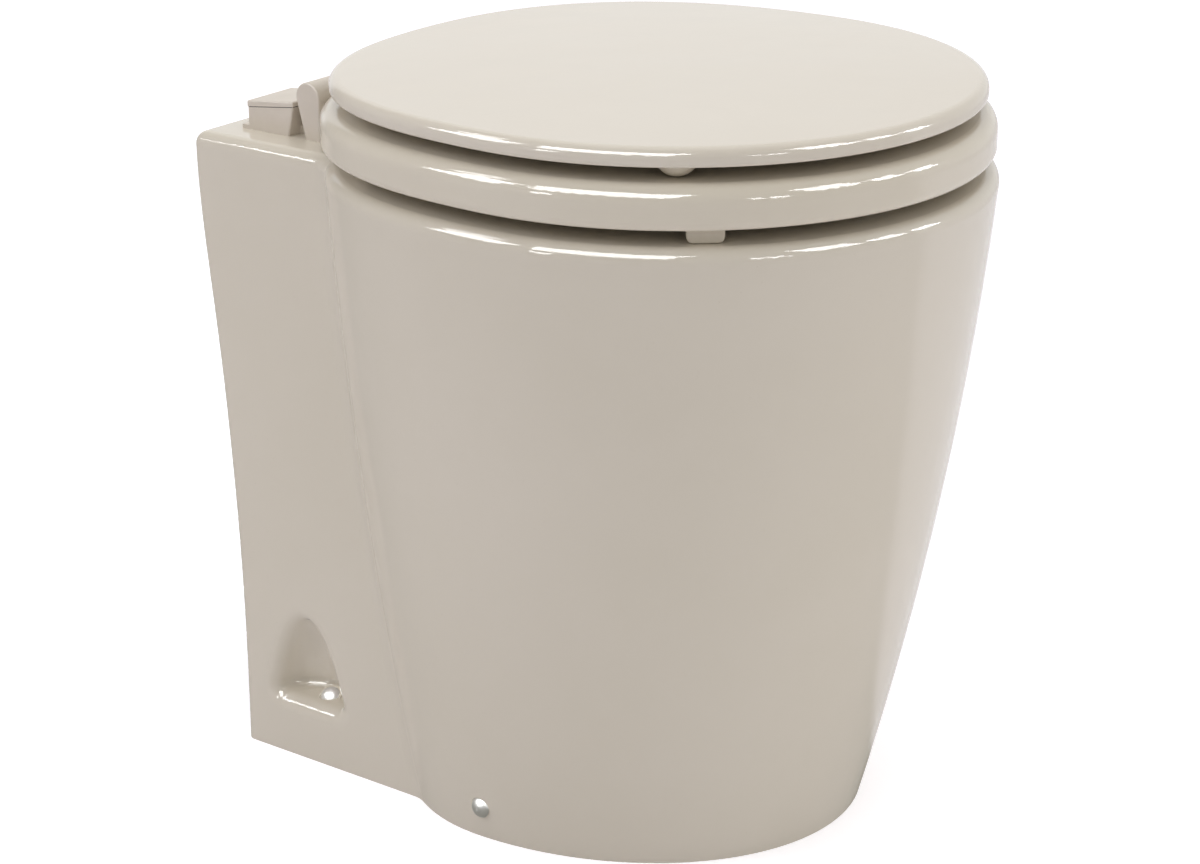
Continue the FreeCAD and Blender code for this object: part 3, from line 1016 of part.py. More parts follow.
def flush_pieces():
    """The flush valve with its solenoid, the hose over to the rim and the rim nozzle."""
    nodes = {}
    axis_z = VALVE_AXIS_Z
    half = VALVE_BODY_HALF_WIDTH
    body = joined([
        block((-half, VALVE_BODY_FRONT, VALVE_BODY_BOTTOM), (half, VALVE_BODY_REAR, VALVE_BODY_TOP)),
        rod(VALVE_TAIL_RADIUS, VALVE_TAIL_LENGTH, (0, VALVE_OUTLET_Y, VALVE_BODY_TOP)),
        rod(VALVE_INLET_RADIUS, VALVE_INLET_LENGTH, (0, VALVE_BODY_REAR, axis_z), Y_AXIS),
    ])
    body = body.cut(rod(VALVE_TAIL_BORE, DEPTH, (0, VALVE_OUTLET_Y, axis_z)))
    body = body.cut(rod(VALVE_INLET_BORE, DEPTH, (0, VALVE_OUTLET_Y, axis_z), Y_AXIS))
    nodes["flush_valve_body"] = body
    core = rod(CORE_TUBE_RADIUS, CORE_TUBE_LENGTH, (half, VALVE_OUTLET_Y, axis_z), X_AXIS)
    core_bore = rod(CORE_TUBE_BORE, CORE_TUBE_LENGTH - CORE_END, (half, VALVE_OUTLET_Y, axis_z), X_AXIS)
    nodes["solenoid_core_tube"] = core.cut(core_bore)
    nodes["solenoid_coil"] = tube(COIL_RADIUS, CORE_TUBE_RADIUS, COIL_LENGTH,
                                  (half + COIL_COLLAR, VALVE_OUTLET_Y, axis_z), X_AXIS)
    nodes["solenoid_collar"] = tube(COIL_COLLAR_RADIUS, CORE_TUBE_RADIUS, COIL_COLLAR,
                                    (half, VALVE_OUTLET_Y, axis_z), X_AXIS)
    nodes["solenoid_plunger"] = rod(CORE_TUBE_BORE - PLUNGER_FIT, PLUNGER_LENGTH,
                                    (half + PLUNGER_START, VALVE_OUTLET_Y, axis_z), X_AXIS)
    strap_x = -half - VALVE_BRACKET_THICKNESS
    y0, y1 = VALVE_BODY_FRONT + VALVE_BRACKET_MARGIN, VALVE_BODY_REAR - VALVE_BRACKET_MARGIN
    flange_low = DECK_UNDERSIDE - VALVE_BRACKET_THICKNESS
    nodes["valve_bracket"] = joined([
        block((strap_x, y0, VALVE_BODY_BOTTOM), (-half, y1, DECK_UNDERSIDE)),
        block((-half - VALVE_BRACKET_FLANGE, y0, flange_low), (-half, y1, DECK_UNDERSIDE)),
    ])
    wall_y = basin_rear(NOZZLE_HEIGHT + NOZZLE_FLANGE_RADIUS, BASIN_WALL) + NOZZLE_SEAT_GAP + NOZZLE_GASKET
    flange_y = wall_y + NOZZLE_FLANGE_THICKNESS
    nozzle = joined([
        rod(VALVE_TAIL_RADIUS, BASIN_WALL + NOZZLE_GASKET + NOZZLE_REACH,
            (0, wall_y - BASIN_WALL - NOZZLE_GASKET - NOZZLE_REACH, NOZZLE_HEIGHT), Y_AXIS),
        rod(NOZZLE_FLANGE_RADIUS, NOZZLE_FLANGE_THICKNESS, (0, wall_y, NOZZLE_HEIGHT), Y_AXIS),
        rod(VALVE_TAIL_RADIUS, NOZZLE_TAIL_LENGTH, (0, flange_y, NOZZLE_HEIGHT), Y_AXIS),
    ])
    nozzle_bore = rod(VALVE_TAIL_BORE, DEPTH, (0, wall_y - DEPTH / 2, NOZZLE_HEIGHT), Y_AXIS)
    nodes["rim_nozzle"] = nozzle.cut(nozzle_bore)
    nodes["nozzle_gasket"] = tube(NOZZLE_FLANGE_RADIUS, VALVE_TAIL_RADIUS, NOZZLE_GASKET,
                                  (0, wall_y - NOZZLE_GASKET, NOZZLE_HEIGHT), Y_AXIS)
    hose_inner = VALVE_TAIL_RADIUS + HOSE_FIT
    hose_outer = hose_inner + HOSE_WALL
    low = VALVE_BODY_TOP
    bend_z, bend_y = NOZZLE_HEIGHT - HOSE_BEND, VALVE_OUTLET_Y - HOSE_BEND

    def hose_solid(radius):
        bend = Part.makeTorus(HOSE_BEND, radius, Vector(0, bend_y, bend_z), X_AXIS)
        quarter = block((-radius, bend_y, bend_z), (radius, bend_y + 2 * HOSE_BEND, bend_z + 2 * HOSE_BEND))
        return joined([rod(radius, bend_z - low, (0, VALVE_OUTLET_Y, low)), bend.common(quarter),
                       rod(radius, bend_y - flange_y, (0, flange_y, NOZZLE_HEIGHT), Y_AXIS)])

    nodes["flush_hose"] = hose_solid(hose_outer).cut(hose_solid(hose_inner))
    band = hose_outer + CLAMP_THICKNESS
    clips = [tube(band, hose_outer, CLAMP_WIDTH, (0, VALVE_OUTLET_Y, low + CLAMP_WIDTH / 2)),
             tube(band, hose_outer, CLAMP_WIDTH, (0, flange_y + CLAMP_WIDTH / 2, NOZZLE_HEIGHT), Y_AXIS)]
    nodes["hose_clips"] = Part.makeCompound(clips)
    return nodes


def main():
    """Build every piece and write one file for each."""
    nodes = {"bowl_pedestal": bowl_pedestal(), "bowl_basin": bowl_basin()}
    for pieces in (fixing_pieces(), seat_pieces(), pump_housing(), motor_pieces(),
                   rotor_pieces(), waste_pieces(), flush_pieces()):
        nodes.update(pieces)
    os.makedirs("parts", exist_ok=True)
    for name, shape in nodes.items():
        shape.exportStep("parts/" + name + ".step")
        print(name, "solids", len(shape.Solids), "valid", shape.isValid(), "volume", round(shape.Volume))
    print(len(nodes), "pieces")


main()
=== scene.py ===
"""Electric marine toilet: the finishes, fine pieces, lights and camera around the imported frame.

Everything is in metres, in the frame's own coordinates: +Z up, the front of the bowl towards -Y.
"""
import json
import logging
import math
from dataclasses import dataclass, field
from enum import Enum

import bmesh
import bpy
from mathutils import Matrix, Vector


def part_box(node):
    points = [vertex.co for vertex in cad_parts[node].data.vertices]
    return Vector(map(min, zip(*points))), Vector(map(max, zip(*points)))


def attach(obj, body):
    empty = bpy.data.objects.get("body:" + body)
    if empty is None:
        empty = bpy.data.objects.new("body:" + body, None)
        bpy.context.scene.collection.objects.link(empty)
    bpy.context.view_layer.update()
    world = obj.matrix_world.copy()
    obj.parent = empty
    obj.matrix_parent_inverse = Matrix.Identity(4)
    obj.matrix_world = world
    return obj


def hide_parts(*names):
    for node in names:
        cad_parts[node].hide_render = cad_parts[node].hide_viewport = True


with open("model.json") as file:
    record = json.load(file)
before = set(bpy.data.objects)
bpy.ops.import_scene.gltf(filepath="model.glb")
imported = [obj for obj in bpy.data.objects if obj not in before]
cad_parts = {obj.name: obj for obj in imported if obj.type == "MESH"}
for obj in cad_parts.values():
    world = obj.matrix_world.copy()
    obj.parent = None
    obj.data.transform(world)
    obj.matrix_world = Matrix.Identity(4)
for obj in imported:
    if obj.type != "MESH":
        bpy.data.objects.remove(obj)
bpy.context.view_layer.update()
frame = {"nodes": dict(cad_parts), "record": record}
LOG = logging.getLogger("marine_toilet")

SRGB_FULL = 255
SRGB_TOE = 0.04045
SRGB_SLOPE = 12.92
SRGB_OFFSET = 0.055
SRGB_POWER = 2.4
MERGE = 1e-5
SHARP = math.radians(40.0)
UP = Vector((0.0, 0.0, 1.0))

Colour = tuple[float, float, float]
Point = tuple[float, float, float]
Socket = bpy.types.NodeSocket
Shape = bmesh.types.BMesh

GREY: Colour = (0.5, 0.5, 0.5)
WHITE: Colour = (1.0, 1.0, 1.0)


def srgb(red: int, green: int, blue: int) -> Colour:
    """Turn an everyday 0 to 255 colour into linear light.

    Args:
        red: The red share.
        green: The green share.
        blue: The blue share.

    Returns:
        The linear colour that the shaders take.
    """
    def linear(value: int) -> float:
        """One channel in linear light."""
        share = value / SRGB_FULL
        if share <= SRGB_TOE:
            return share / SRGB_SLOPE
        return ((share + SRGB_OFFSET) / (1 + SRGB_OFFSET)) ** SRGB_POWER

    return linear(red), linear(green), linear(blue)


def heading(turn: float, rise: float) -> Vector:
    """A direction from the object.

    Args:
        turn: Degrees to the right of the object's front, as seen by someone facing it.
        rise: Degrees above the horizon.

    Returns:
        The unit vector.
    """
    around, lift = math.radians(turn), math.radians(rise)
    level = math.cos(lift)
    return Vector((math.sin(around) * level, -math.cos(around) * level, math.sin(lift)))


class Mixing(Enum):
    """The first, second and result sockets of a Mix node, by its kind of data."""

    FLOAT = (2, 3, 0)
    RGBA = (6, 7, 2)


class Tree:
    """A short hand for laying out a node tree from left to right."""

    COLUMN = 220

    def __init__(self, tree: bpy.types.NodeTree) -> None:
        """Take over a node tree and clear it.

        Args:
            tree: The tree to fill.
        """
        self.tree = tree
        self.tree.nodes.clear()

    def add(self, kind: str, inputs: dict | None = None, **settings: object) -> bpy.types.Node:
        """Add a node.

        Args:
            kind: The node's type name, without its ShaderNode prefix.
            inputs: Socket name or number to a value, or to another node's output to link.
            **settings: Properties of the node.

        Returns:
            The new node.
        """
        prefix = "" if kind.startswith("NodeGroup") else "ShaderNode"
        node = self.tree.nodes.new(prefix + kind)
        node.location = (len(self.tree.nodes) * self.COLUMN, 0)
        for name, value in settings.items():
            setattr(node, name, value)
        for name, value in (inputs or {}).items():
            self.feed(node.inputs[name], value)
        return node

    def feed(self, socket: Socket, value: object) -> None:
        """Set or link one socket.

        Args:
            socket: The socket to feed.
            value: A value, or another node's output.
        """
        if isinstance(value, Socket):
            self.tree.links.new(value, socket)
        elif socket.type == "RGBA":
            socket.default_value = (*value, 1.0)
        else:
            socket.default_value = value

    def group(self, effect: "Effect", inputs: dict) -> Socket:
        """Place a shared effect.

        Args:
            effect: Which effect.
            inputs: Values for its named inputs.

        Returns:
            The effect's only output.
        """
        return self.add("Group", inputs, node_tree=effect.tree()).outputs[0]

    def noise(self, place: Socket, scale: Socket, detail: float, roughness: float) -> Socket:
        """Add cloudy noise.

        Args:
            place: Where on the object it is read.
            scale: How fine it is.
            detail: How many finer layers it has.
            roughness: How strong the finer layers are.

        Returns:
            The noise, from 0 to 1.
        """
        inputs = {"Vector": place, "Scale": scale, "Detail": detail, "Roughness": roughness}
        return self.add("TexNoise", inputs).outputs["Fac"]

    def calc(self, operation: str, first: Socket, second: Socket) -> Socket:
        """Combine two numbers.

        Args:
            operation: What to do with them.
            first: The first number.
            second: The second number.

        Returns:
            The result.
        """
        return self.add("Math", {0: first, 1: second}, operation=operation).outputs[0]

    def mix(self, kind: Mixing, share: Socket, first: object, second: object) -> Socket:
        """Go from one value to another.

        Args:
            kind: What is mixed.
            share: How far to go.
            first: The value at share 0.
            second: The value at share 1.

        Returns:
            The mixed value.
        """
        one, two, result = kind.value
        inputs = {"Factor": share, one: first, two: second}
        return self.add("Mix", inputs, data_type=kind.name).outputs[result]

    def bump(self, height: Socket, depth: float, normal: Socket | None = None) -> Socket:
        """Turn a height into a relief.

        Args:
            height: The height.
            depth: How deep a height of 1 is.
            normal: A relief that this one lies on.

        Returns:
            The new normal.
        """
        inputs = {"Height": height, "Distance": depth, "Strength": 1.0}
        if normal is not None:
            inputs["Normal"] = normal
        return self.add("Bump", inputs).outputs["Normal"]


class Effect(Enum):
    """Surface effects that several finishes share, each one node group."""

    MOTTLE = "Mottle"
    WAVE = "Surface wave"
    HANDLING = "Handling marks"
    BRUSHING = "Brushing"
    SPECKLE = "Speckle"

    def tree(self) -> bpy.types.NodeTree:
        """The effect's node group, built on first use."""
        return bpy.data.node_groups.get(self.value) or EFFECT_BUILDERS[self]()


def new_group(effect: Effect, inputs: dict[str, tuple[str, object]], output: tuple[str, str],
              ) -> tuple[Tree, bpy.types.bpy_prop_collection, Socket]:
    """Start a shader node group with named sockets.

    Args:
        effect: The effect that the group is for.
        inputs: Input name to its socket type and default value.
        output: The output's name and socket type.

    Returns:
        The group's tree, the sockets of its inputs, and the place on the object.
    """
    group = bpy.data.node_groups.new(effect.value, "ShaderNodeTree")
    for name, (kind, value) in inputs.items():
        socket = group.interface.new_socket(name, in_out="INPUT", socket_type="NodeSocket" + kind)
        socket.default_value = (*value, 1.0) if kind == "Color" else value
    name, kind = output
    group.interface.new_socket(name, in_out="OUTPUT", socket_type="NodeSocket" + kind)
    tree = Tree(group)
    given = tree.add("NodeGroupInput").outputs
    return tree, given, tree.add("TexCoord").outputs["Object"]


def build_mottle() -> bpy.types.NodeTree:
    """Cloudy drift between two close colours.

    Returns:
        A group with two colours and a scale in, and a colour out.
    """
    tree, given, place = new_group(
        Effect.MOTTLE,
        {"Light": ("Color", GREY), "Dark": ("Color", GREY), "Scale": ("Float", 8.0)},
        ("Colour", "Color"))
    cloud = tree.noise(place, given["Scale"], detail=4.0, roughness=0.55)
    share = tree.add("MapRange", {"Value": cloud, "From Min": 0.35, "From Max": 0.65})
    blend = tree.mix(Mixing.RGBA, share.outputs["Result"], given["Dark"], given["Light"])
    tree.add("NodeGroupOutput", {"Colour": blend})
    return tree.tree


def build_wave() -> bpy.types.NodeTree:
    """Slow undulation with a finer orange peel on top.

    Returns:
        A group that puts out a height.
    """
    tree, given, place = new_group(
        Effect.WAVE,
        {"Slow scale": ("Float", 9.0), "Fine scale": ("Float", 240.0),
         "Fine share": ("Float", 0.1)},
        ("Height", "Float"))
    slow = tree.noise(place, given["Slow scale"], detail=1.0, roughness=0.4)
    fine = tree.noise(place, given["Fine scale"], detail=2.0, roughness=0.5)
    part = tree.calc("MULTIPLY", fine, given["Fine share"])
    tree.add("NodeGroupOutput", {"Height": tree.calc("ADD", slow, part)})
    return tree.tree


def build_handling() -> bpy.types.NodeTree:
    """Faint wiped and handled patches that change how sharp the gloss is.

    Returns:
        A group that puts out a roughness between two limits.
    """
    tree, given, place = new_group(
        Effect.HANDLING,
        {"Clean": ("Float", 0.08), "Worn": ("Float", 0.2), "Scale": ("Float", 14.0)},
        ("Roughness", "Float"))
    patch = tree.noise(place, given["Scale"], detail=5.0, roughness=0.62)
    level = tree.add("MapRange", {"Value": patch, "From Min": 0.38, "From Max": 0.72,
                                  "To Min": given["Clean"], "To Max": given["Worn"]})
    tree.add("NodeGroupOutput", {"Roughness": level.outputs["Result"]})
    return tree.tree


def build_brushing() -> bpy.types.NodeTree:
    """Fine lines left by brushing or turning, stretched along one axis.

    Returns:
        A group with a direction and a scale in, and a line mask out.
    """
    tree, given, place = new_group(
        Effect.BRUSHING,
        {"Stretch": ("Vector", (1.0, 1.0, 1.0)), "Scale": ("Float", 900.0)},
        ("Lines", "Float"))
    along = tree.add("VectorMath", {0: place, 1: given["Stretch"]}, operation="MULTIPLY")
    lines = tree.noise(along.outputs[0], given["Scale"], detail=3.0, roughness=0.5)
    tree.add("NodeGroupOutput", {"Lines": lines})
    return tree.tree


def build_speckle() -> bpy.types.NodeTree:
    """Sparse tiny specks, as in a fired glaze.

    Returns:
        A group with a base and a speck colour in, and a colour out.
    """
    tree, given, place = new_group(
        Effect.SPECKLE,
        {"Base": ("Color", GREY), "Speck": ("Color", GREY), "Scale": ("Float", 300.0),
         "Size": ("Float", 0.08)},
        ("Colour", "Color"))
    cells = tree.add("TexVoronoi", {"Vector": place, "Scale": given["Scale"]}, feature="F1")
    inside = tree.calc("LESS_THAN", cells.outputs["Distance"], given["Size"])
    blend = tree.mix(Mixing.RGBA, inside, given["Base"], given["Speck"])
    tree.add("NodeGroupOutput", {"Colour": blend})
    return tree.tree


EFFECT_BUILDERS = {
    Effect.MOTTLE: build_mottle,
    Effect.WAVE: build_wave,
    Effect.HANDLING: build_handling,
    Effect.BRUSHING: build_brushing,
    Effect.SPECKLE: build_speckle,
}


@dataclass(frozen=True)
class Finish:
    """A procedural finish for one material slot."""

    name: str
    light: Colour
    dark: Colour
    clean: float
    worn: float
    mottle_scale: float = 8.0
    handling_scale: float = 14.0
    metallic: float = 0.0
    wave_slow: float = 9.0
    wave_fine: float = 240.0
    wave_fine_share: float = 0.1
    wave_depth: float = 0.0
    speck: Colour | None = None
    speck_scale: float = 300.0
    speck_size: float = 0.06
    stretch: Point | None = None
    brushing_scale: float = 900.0
    brushing_depth: float = 0.0

    def build(self) -> bpy.types.Material:
        """Make the material.

        Returns:
            A node material with drifting colour, uneven gloss and a shallow relief.
        """
        material = bpy.data.materials.new(self.name)
        material.use_nodes = True
        tree = Tree(material.node_tree)
        colour = tree.group(Effect.MOTTLE, {"Light": self.light, "Dark": self.dark,
                                            "Scale": self.mottle_scale})
        if self.speck:
            colour = tree.group(Effect.SPECKLE, {"Base": colour, "Speck": self.speck,
                                                 "Scale": self.speck_scale,
                                                 "Size": self.speck_size})
        gloss = tree.group(Effect.HANDLING, {"Clean": self.clean, "Worn": self.worn,
                                             "Scale": self.handling_scale})
        height = tree.group(Effect.WAVE, {"Slow scale": self.wave_slow,
                                          "Fine scale": self.wave_fine,
                                          "Fine share": self.wave_fine_share})
        normal = tree.bump(height, self.wave_depth)
        if self.stretch:
            lines = tree.group(Effect.BRUSHING, {"Stretch": self.stretch,
                                                 "Scale": self.brushing_scale})
            normal = tree.bump(lines, self.brushing_depth, normal)
        shader = tree.add("BsdfPrincipled", {"Base Color": colour, "Roughness": gloss,
                                             "Metallic": self.metallic, "Normal": normal})
        tree.add("OutputMaterial", {"Surface": shader.outputs["BSDF"]})
        return material


FINISHES = {
    "china": Finish(
        "glazed_china", srgb(215, 208, 194), srgb(212, 205, 190), 0.03, 0.06, mottle_scale=5.0,
        wave_slow=11.0, wave_fine=90.0, wave_fine_share=0.02, wave_depth=0.0012,
        speck=srgb(196, 186, 168), speck_scale=160.0, speck_size=0.035),
    "lid_plastic": Finish(
        "lid_enamel", srgb(217, 210, 197), srgb(215, 207, 193), 0.04, 0.08, mottle_scale=4.0,
        wave_slow=14.0, wave_fine=160.0, wave_fine_share=0.03, wave_depth=0.0007),
    "seat_plastic": Finish(
        "seat_enamel", srgb(217, 210, 195), srgb(214, 206, 190), 0.04, 0.08, mottle_scale=4.0,
        wave_slow=14.0, wave_fine=160.0, wave_fine_share=0.03, wave_depth=0.0007),
    "bumper_plastic": Finish(
        "bumper_plastic", srgb(214, 206, 190), srgb(208, 199, 182), 0.3, 0.42, mottle_scale=60.0,
        wave_fine=900.0, wave_fine_share=0.4, wave_depth=0.00004),
    "hinge_plastic": Finish(
        "hinge_plastic", srgb(215, 206, 194), srgb(209, 200, 187), 0.36, 0.48, mottle_scale=40.0,
        wave_fine=1400.0, wave_fine_share=0.6, wave_depth=0.00005),
    "leaf_plastic": Finish(
        "leaf_plastic", srgb(206, 197, 184), srgb(199, 189, 175), 0.38, 0.5, mottle_scale=40.0,
        wave_fine=1400.0, wave_fine_share=0.6, wave_depth=0.00005),
    "stainless": Finish(
        "polished_stainless", srgb(226, 226, 227), srgb(214, 214, 215), 0.36, 0.46,
        mottle_scale=60.0, metallic=1.0, wave_fine=700.0, wave_depth=0.00002),
    "pump_plastic": Finish(
        "pump_moulding", srgb(52, 53, 55), srgb(40, 41, 43), 0.42, 0.58, mottle_scale=30.0,
        wave_fine=1800.0, wave_fine_share=0.8, wave_depth=0.00008),
    "rubber": Finish(
        "rubber", srgb(38, 38, 39), srgb(29, 29, 30), 0.62, 0.78, mottle_scale=45.0,
        wave_fine=1100.0, wave_fine_share=0.5, wave_depth=0.00006),
    "motor_paint": Finish(
        "motor_enamel", srgb(214, 214, 212), srgb(206, 206, 203), 0.28, 0.42, mottle_scale=20.0,
        wave_fine=500.0, wave_fine_share=0.5, wave_depth=0.00006),
    "motor_alloy": Finish(
        "cast_alloy", srgb(176, 177, 180), srgb(160, 161, 164), 0.4, 0.55, mottle_scale=70.0,
        metallic=1.0, wave_fine=900.0, wave_fine_share=0.9, wave_depth=0.0001),
    "lamination": Finish(
        "lamination_steel", srgb(96, 95, 94), srgb(78, 77, 76), 0.4, 0.6, mottle_scale=50.0,
        metallic=1.0, stretch=(0.05, 0.05, 1.0), brushing_scale=2200.0, brushing_depth=0.0001),
    "brass": Finish(
        "brass", srgb(201, 165, 96), srgb(184, 146, 78), 0.22, 0.4, mottle_scale=60.0,
        metallic=1.0, stretch=(1.0, 0.05, 0.05), brushing_scale=1400.0, brushing_depth=0.00003),
    "carbon": Finish(
        "brush_carbon", srgb(46, 45, 44), srgb(35, 34, 33), 0.55, 0.7, mottle_scale=200.0,
        wave_fine=2600.0, wave_fine_share=1.0, wave_depth=0.0001),
}


@dataclass
class Paintwork:
    """Makes each slot's finish once and puts it on the frame's own pieces."""

    made: dict[str, bpy.types.Material] = field(default_factory=dict)

    def material(self, slot: str) -> bpy.types.Material:
        """The material of a slot, built on first use."""
        if slot not in self.made:
            self.made[slot] = FINISHES[slot].build()
        return self.made[slot]

    def dress_frame(self) -> None:
        """Give every frame piece its slot's finish."""
        for entry in frame["record"]["subparts"]:
            piece = frame["nodes"][entry["node"]]
            for place in piece.material_slots:
                place.material = self.material(entry["material_slot"])
        LOG.info("dressed %d frame pieces in %d finishes", len(frame["nodes"]), len(self.made))


def new_piece(name: str, shape: Shape, slot: str, body: str, paint: Paintwork) -> bpy.types.Object:
    """Close a finished shape and make it a piece that rides on a body.

    Args:
        name: The piece's name.
        shape: The shape, which is used up.
        slot: The record's material slot that dresses it.
        body: The body that carries it.
        paint: The finishes.

    Returns:
        The piece.
    """
    bmesh.ops.remove_doubles(shape, verts=shape.verts, dist=MERGE)
    bmesh.ops.recalc_face_normals(shape, faces=shape.faces)
    mesh = bpy.data.meshes.new(name)
    shape.to_mesh(mesh)
    shape.free()
    mesh.shade_smooth()
    mesh.set_sharp_from_angle(angle=SHARP)
    mesh.materials.append(paint.material(slot))
    piece = bpy.data.objects.new(name, mesh)
    bpy.context.scene.collection.objects.link(piece)
    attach(piece, body)
    LOG.info("%s rides on %s", name, body)
    return piece


def edges_of(verts: list[bmesh.types.BMVert]) -> list[bmesh.types.BMEdge]:
    """The edges at some vertices, each once and always in the same order."""
    return list(dict.fromkeys(edge for vert in verts for edge in vert.link_edges))


def lathe(shape: Shape, profile: list[tuple[float, float]], base: Vector, axis: Vector,
          closed: bool = True, steps: int = 48) -> list[bmesh.types.BMVert]:
    """Turn an outline about an axis and add it to a shape.

    Args:
        shape: The shape to add to.
        profile: The outline as radius and height above the base.
        base: Where height 0 lies on the axis.
        axis: The way that heights grow.
        closed: Whether the outline's last point joins its first.
        steps: Facets round the axis.

    Returns:
        The new vertices.
    """
    before = set(shape.verts)
    place = Matrix.Translation(base) @ axis.to_track_quat("Z", "Y").to_matrix().to_4x4()
    line = [shape.verts.new(place @ Vector((radius, 0.0, height))) for radius, height in profile]
    joins = list(zip(line, line[1:])) + ([(line[-1], line[0])] if closed else [])
    edges = [shape.edges.new(pair) for pair in joins]
    bmesh.ops.spin(shape, geom=line + edges, cent=base, axis=axis, angle=2 * math.pi, steps=steps,
                   use_merge=True, use_duplicate=False)
    fresh = [vert for vert in shape.verts if vert not in before]
    bmesh.ops.remove_doubles(shape, verts=fresh, dist=MERGE)
    return [vert for vert in shape.verts if vert not in before]


def bar(shape: Shape, size: Point, place: Matrix, rounding: float) -> None:
    """Add a bar with softened edges to a shape.

    Args:
        shape: The shape to add to.
        size: The bar's length, width and height.
        place: Where its middle goes, and how it is turned.
        rounding: How far its edges are rounded.
    """
    made = bmesh.ops.create_cube(shape, size=1.0, matrix=place @ Matrix.Diagonal((*size, 1.0)))
    bmesh.ops.bevel(shape, geom=edges_of(made["verts"]), offset=rounding, segments=2, profile=0.5,
                    affect="EDGES", material=-1)


@dataclass(frozen=True)
class SocketScrew:
    """A screw with a hexagon socket in its rounded head."""

    head_radius: float
    head_height: float
    shank_radius: float
    socket_flats: float
    socket_depth: float
    soften: float = 0.0005
    steps: int = 24

    def outline(self, length: float) -> list[tuple[float, float]]:
        """Half the screw's section, from the socket's corner to the shank's tip.

        Args:
            length: From the head's face to the shank's tip.

        Returns:
            Radius and depth below the head's face, point by point.
        """
        head, shank, soft = self.head_radius, self.shank_radius, self.soften
        mouth = self.socket_flats / 2 / math.cos(math.pi / 6)
        return [(mouth, 0.0), (head - 2 * soft, 0.0), (head - soft / 2, soft / 2), (head, 2 * soft),
                (head, self.head_height), (shank, self.head_height), (shank, length - soft),
                (shank - soft, length), (0.0, length)]

    def add(self, shape: Shape, top: Vector, axis: Vector, length: float) -> None:
        """Add one screw to a shape.

        Args:
            shape: The shape to add to.
            top: The middle of the head's face.
            axis: The way the shank runs from the head.
            length: From the head's face to the shank's tip.
        """
        made = lathe(shape, self.outline(length), top, axis, closed=False, steps=self.steps)
        rim = [edge for edge in edges_of(made) if edge.is_boundary]
        across = axis.orthogonal().normalized()
        for vert in {vert for edge in rim for vert in edge.verts}:
            out = vert.co - top
            turn = math.atan2(out.dot(axis.cross(across)), out.dot(across))
            off_flat = turn % (math.pi / 3) - math.pi / 6
            vert.co = top + out.normalized() * (self.socket_flats / 2 / math.cos(off_flat))
        deeper = bmesh.ops.extrude_edge_only(shape, edges=rim)["geom"]
        floor = [item for item in deeper if isinstance(item, bmesh.types.BMVert)]
        bmesh.ops.translate(shape, verts=floor, vec=axis * self.socket_depth)
        ends = [item for item in deeper
                if isinstance(item, bmesh.types.BMEdge) and item.is_boundary]
        bmesh.ops.edgeloop_fill(shape, edges=ends)


@dataclass(frozen=True)
class ScrewSet:
    """Four socket screws that stand for a node of plain ones, at the corners of its box."""

    node: str
    body: str
    down: bool
    screw: SocketScrew

    def build(self, paint: Paintwork) -> None:
        """Make the four screws."""
        low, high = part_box(self.node)
        axis = -UP if self.down else UP
        face = high.z if self.down else low.z
        inset = self.screw.head_radius
        shape = bmesh.new()
        for x in (low.x + inset, high.x - inset):
            for y in (low.y + inset, high.y - inset):
                self.screw.add(shape, Vector((x, y, face)), axis, high.z - low.z)
        piece = new_piece(f"{self.node}_socketed", shape, "stainless", self.body, paint)
        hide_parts(self.node)


HOUSING_SCREW = SocketScrew(0.0042, 0.004, 0.0022, 0.004, 0.0022)
LEAF_SCREW = SocketScrew(0.0038, 0.0022, 0.0018, 0.003, 0.0014)
SCREW_SETS = (ScrewSet("housing_screws", "root", True, HOUSING_SCREW),
              ScrewSet("seat_leaf_screws", "seat", False, LEAF_SCREW),
              ScrewSet("lid_leaf_screws", "lid", False, LEAF_SCREW))


@dataclass(frozen=True)
class HoseTail:
    """Barbs round a hose tail, placed by the record's mount of the same name.

    The crest's start and end and the foot are shares of the pitch.
    """

    mount: str
    barbs: int = 3
    pitch: float = 0.0055
    rise: float = 0.0009
    root: float = 0.0004
    start: float = 0.0015
    crest_start: float = 0.7
    crest_end: float = 0.82
    foot: float = 0.88

    def build(self, paint: Paintwork) -> None:
        """Make the barbs, each a slope up from the tail's end and a sharp step behind it."""
        mounts = frame["record"]["mounts"]
        mount = next(entry for entry in mounts if entry["name"] == self.mount)
        axis = Vector(mount["axis"])
        radius, length = (mount["dims"][key] / 1000 for key in ("r_mm", "length_mm"))
        end = Vector(mount["pos_m"]) + axis * length / 2
        inside, tip, foot = radius - self.root, radius + self.rise, self.foot * self.pitch
        profile = [(inside, 0.0), (radius, 0.0), (tip, self.crest_start * self.pitch),
                   (tip, self.crest_end * self.pitch), (radius, foot), (inside, foot)]
        shape = bmesh.new()
        for barb in range(self.barbs):
            lathe(shape, profile, end - axis * (self.start + barb * self.pitch), -axis)
        new_piece(f"{self.mount}_barbs", shape, "pump_plastic", "root", paint)


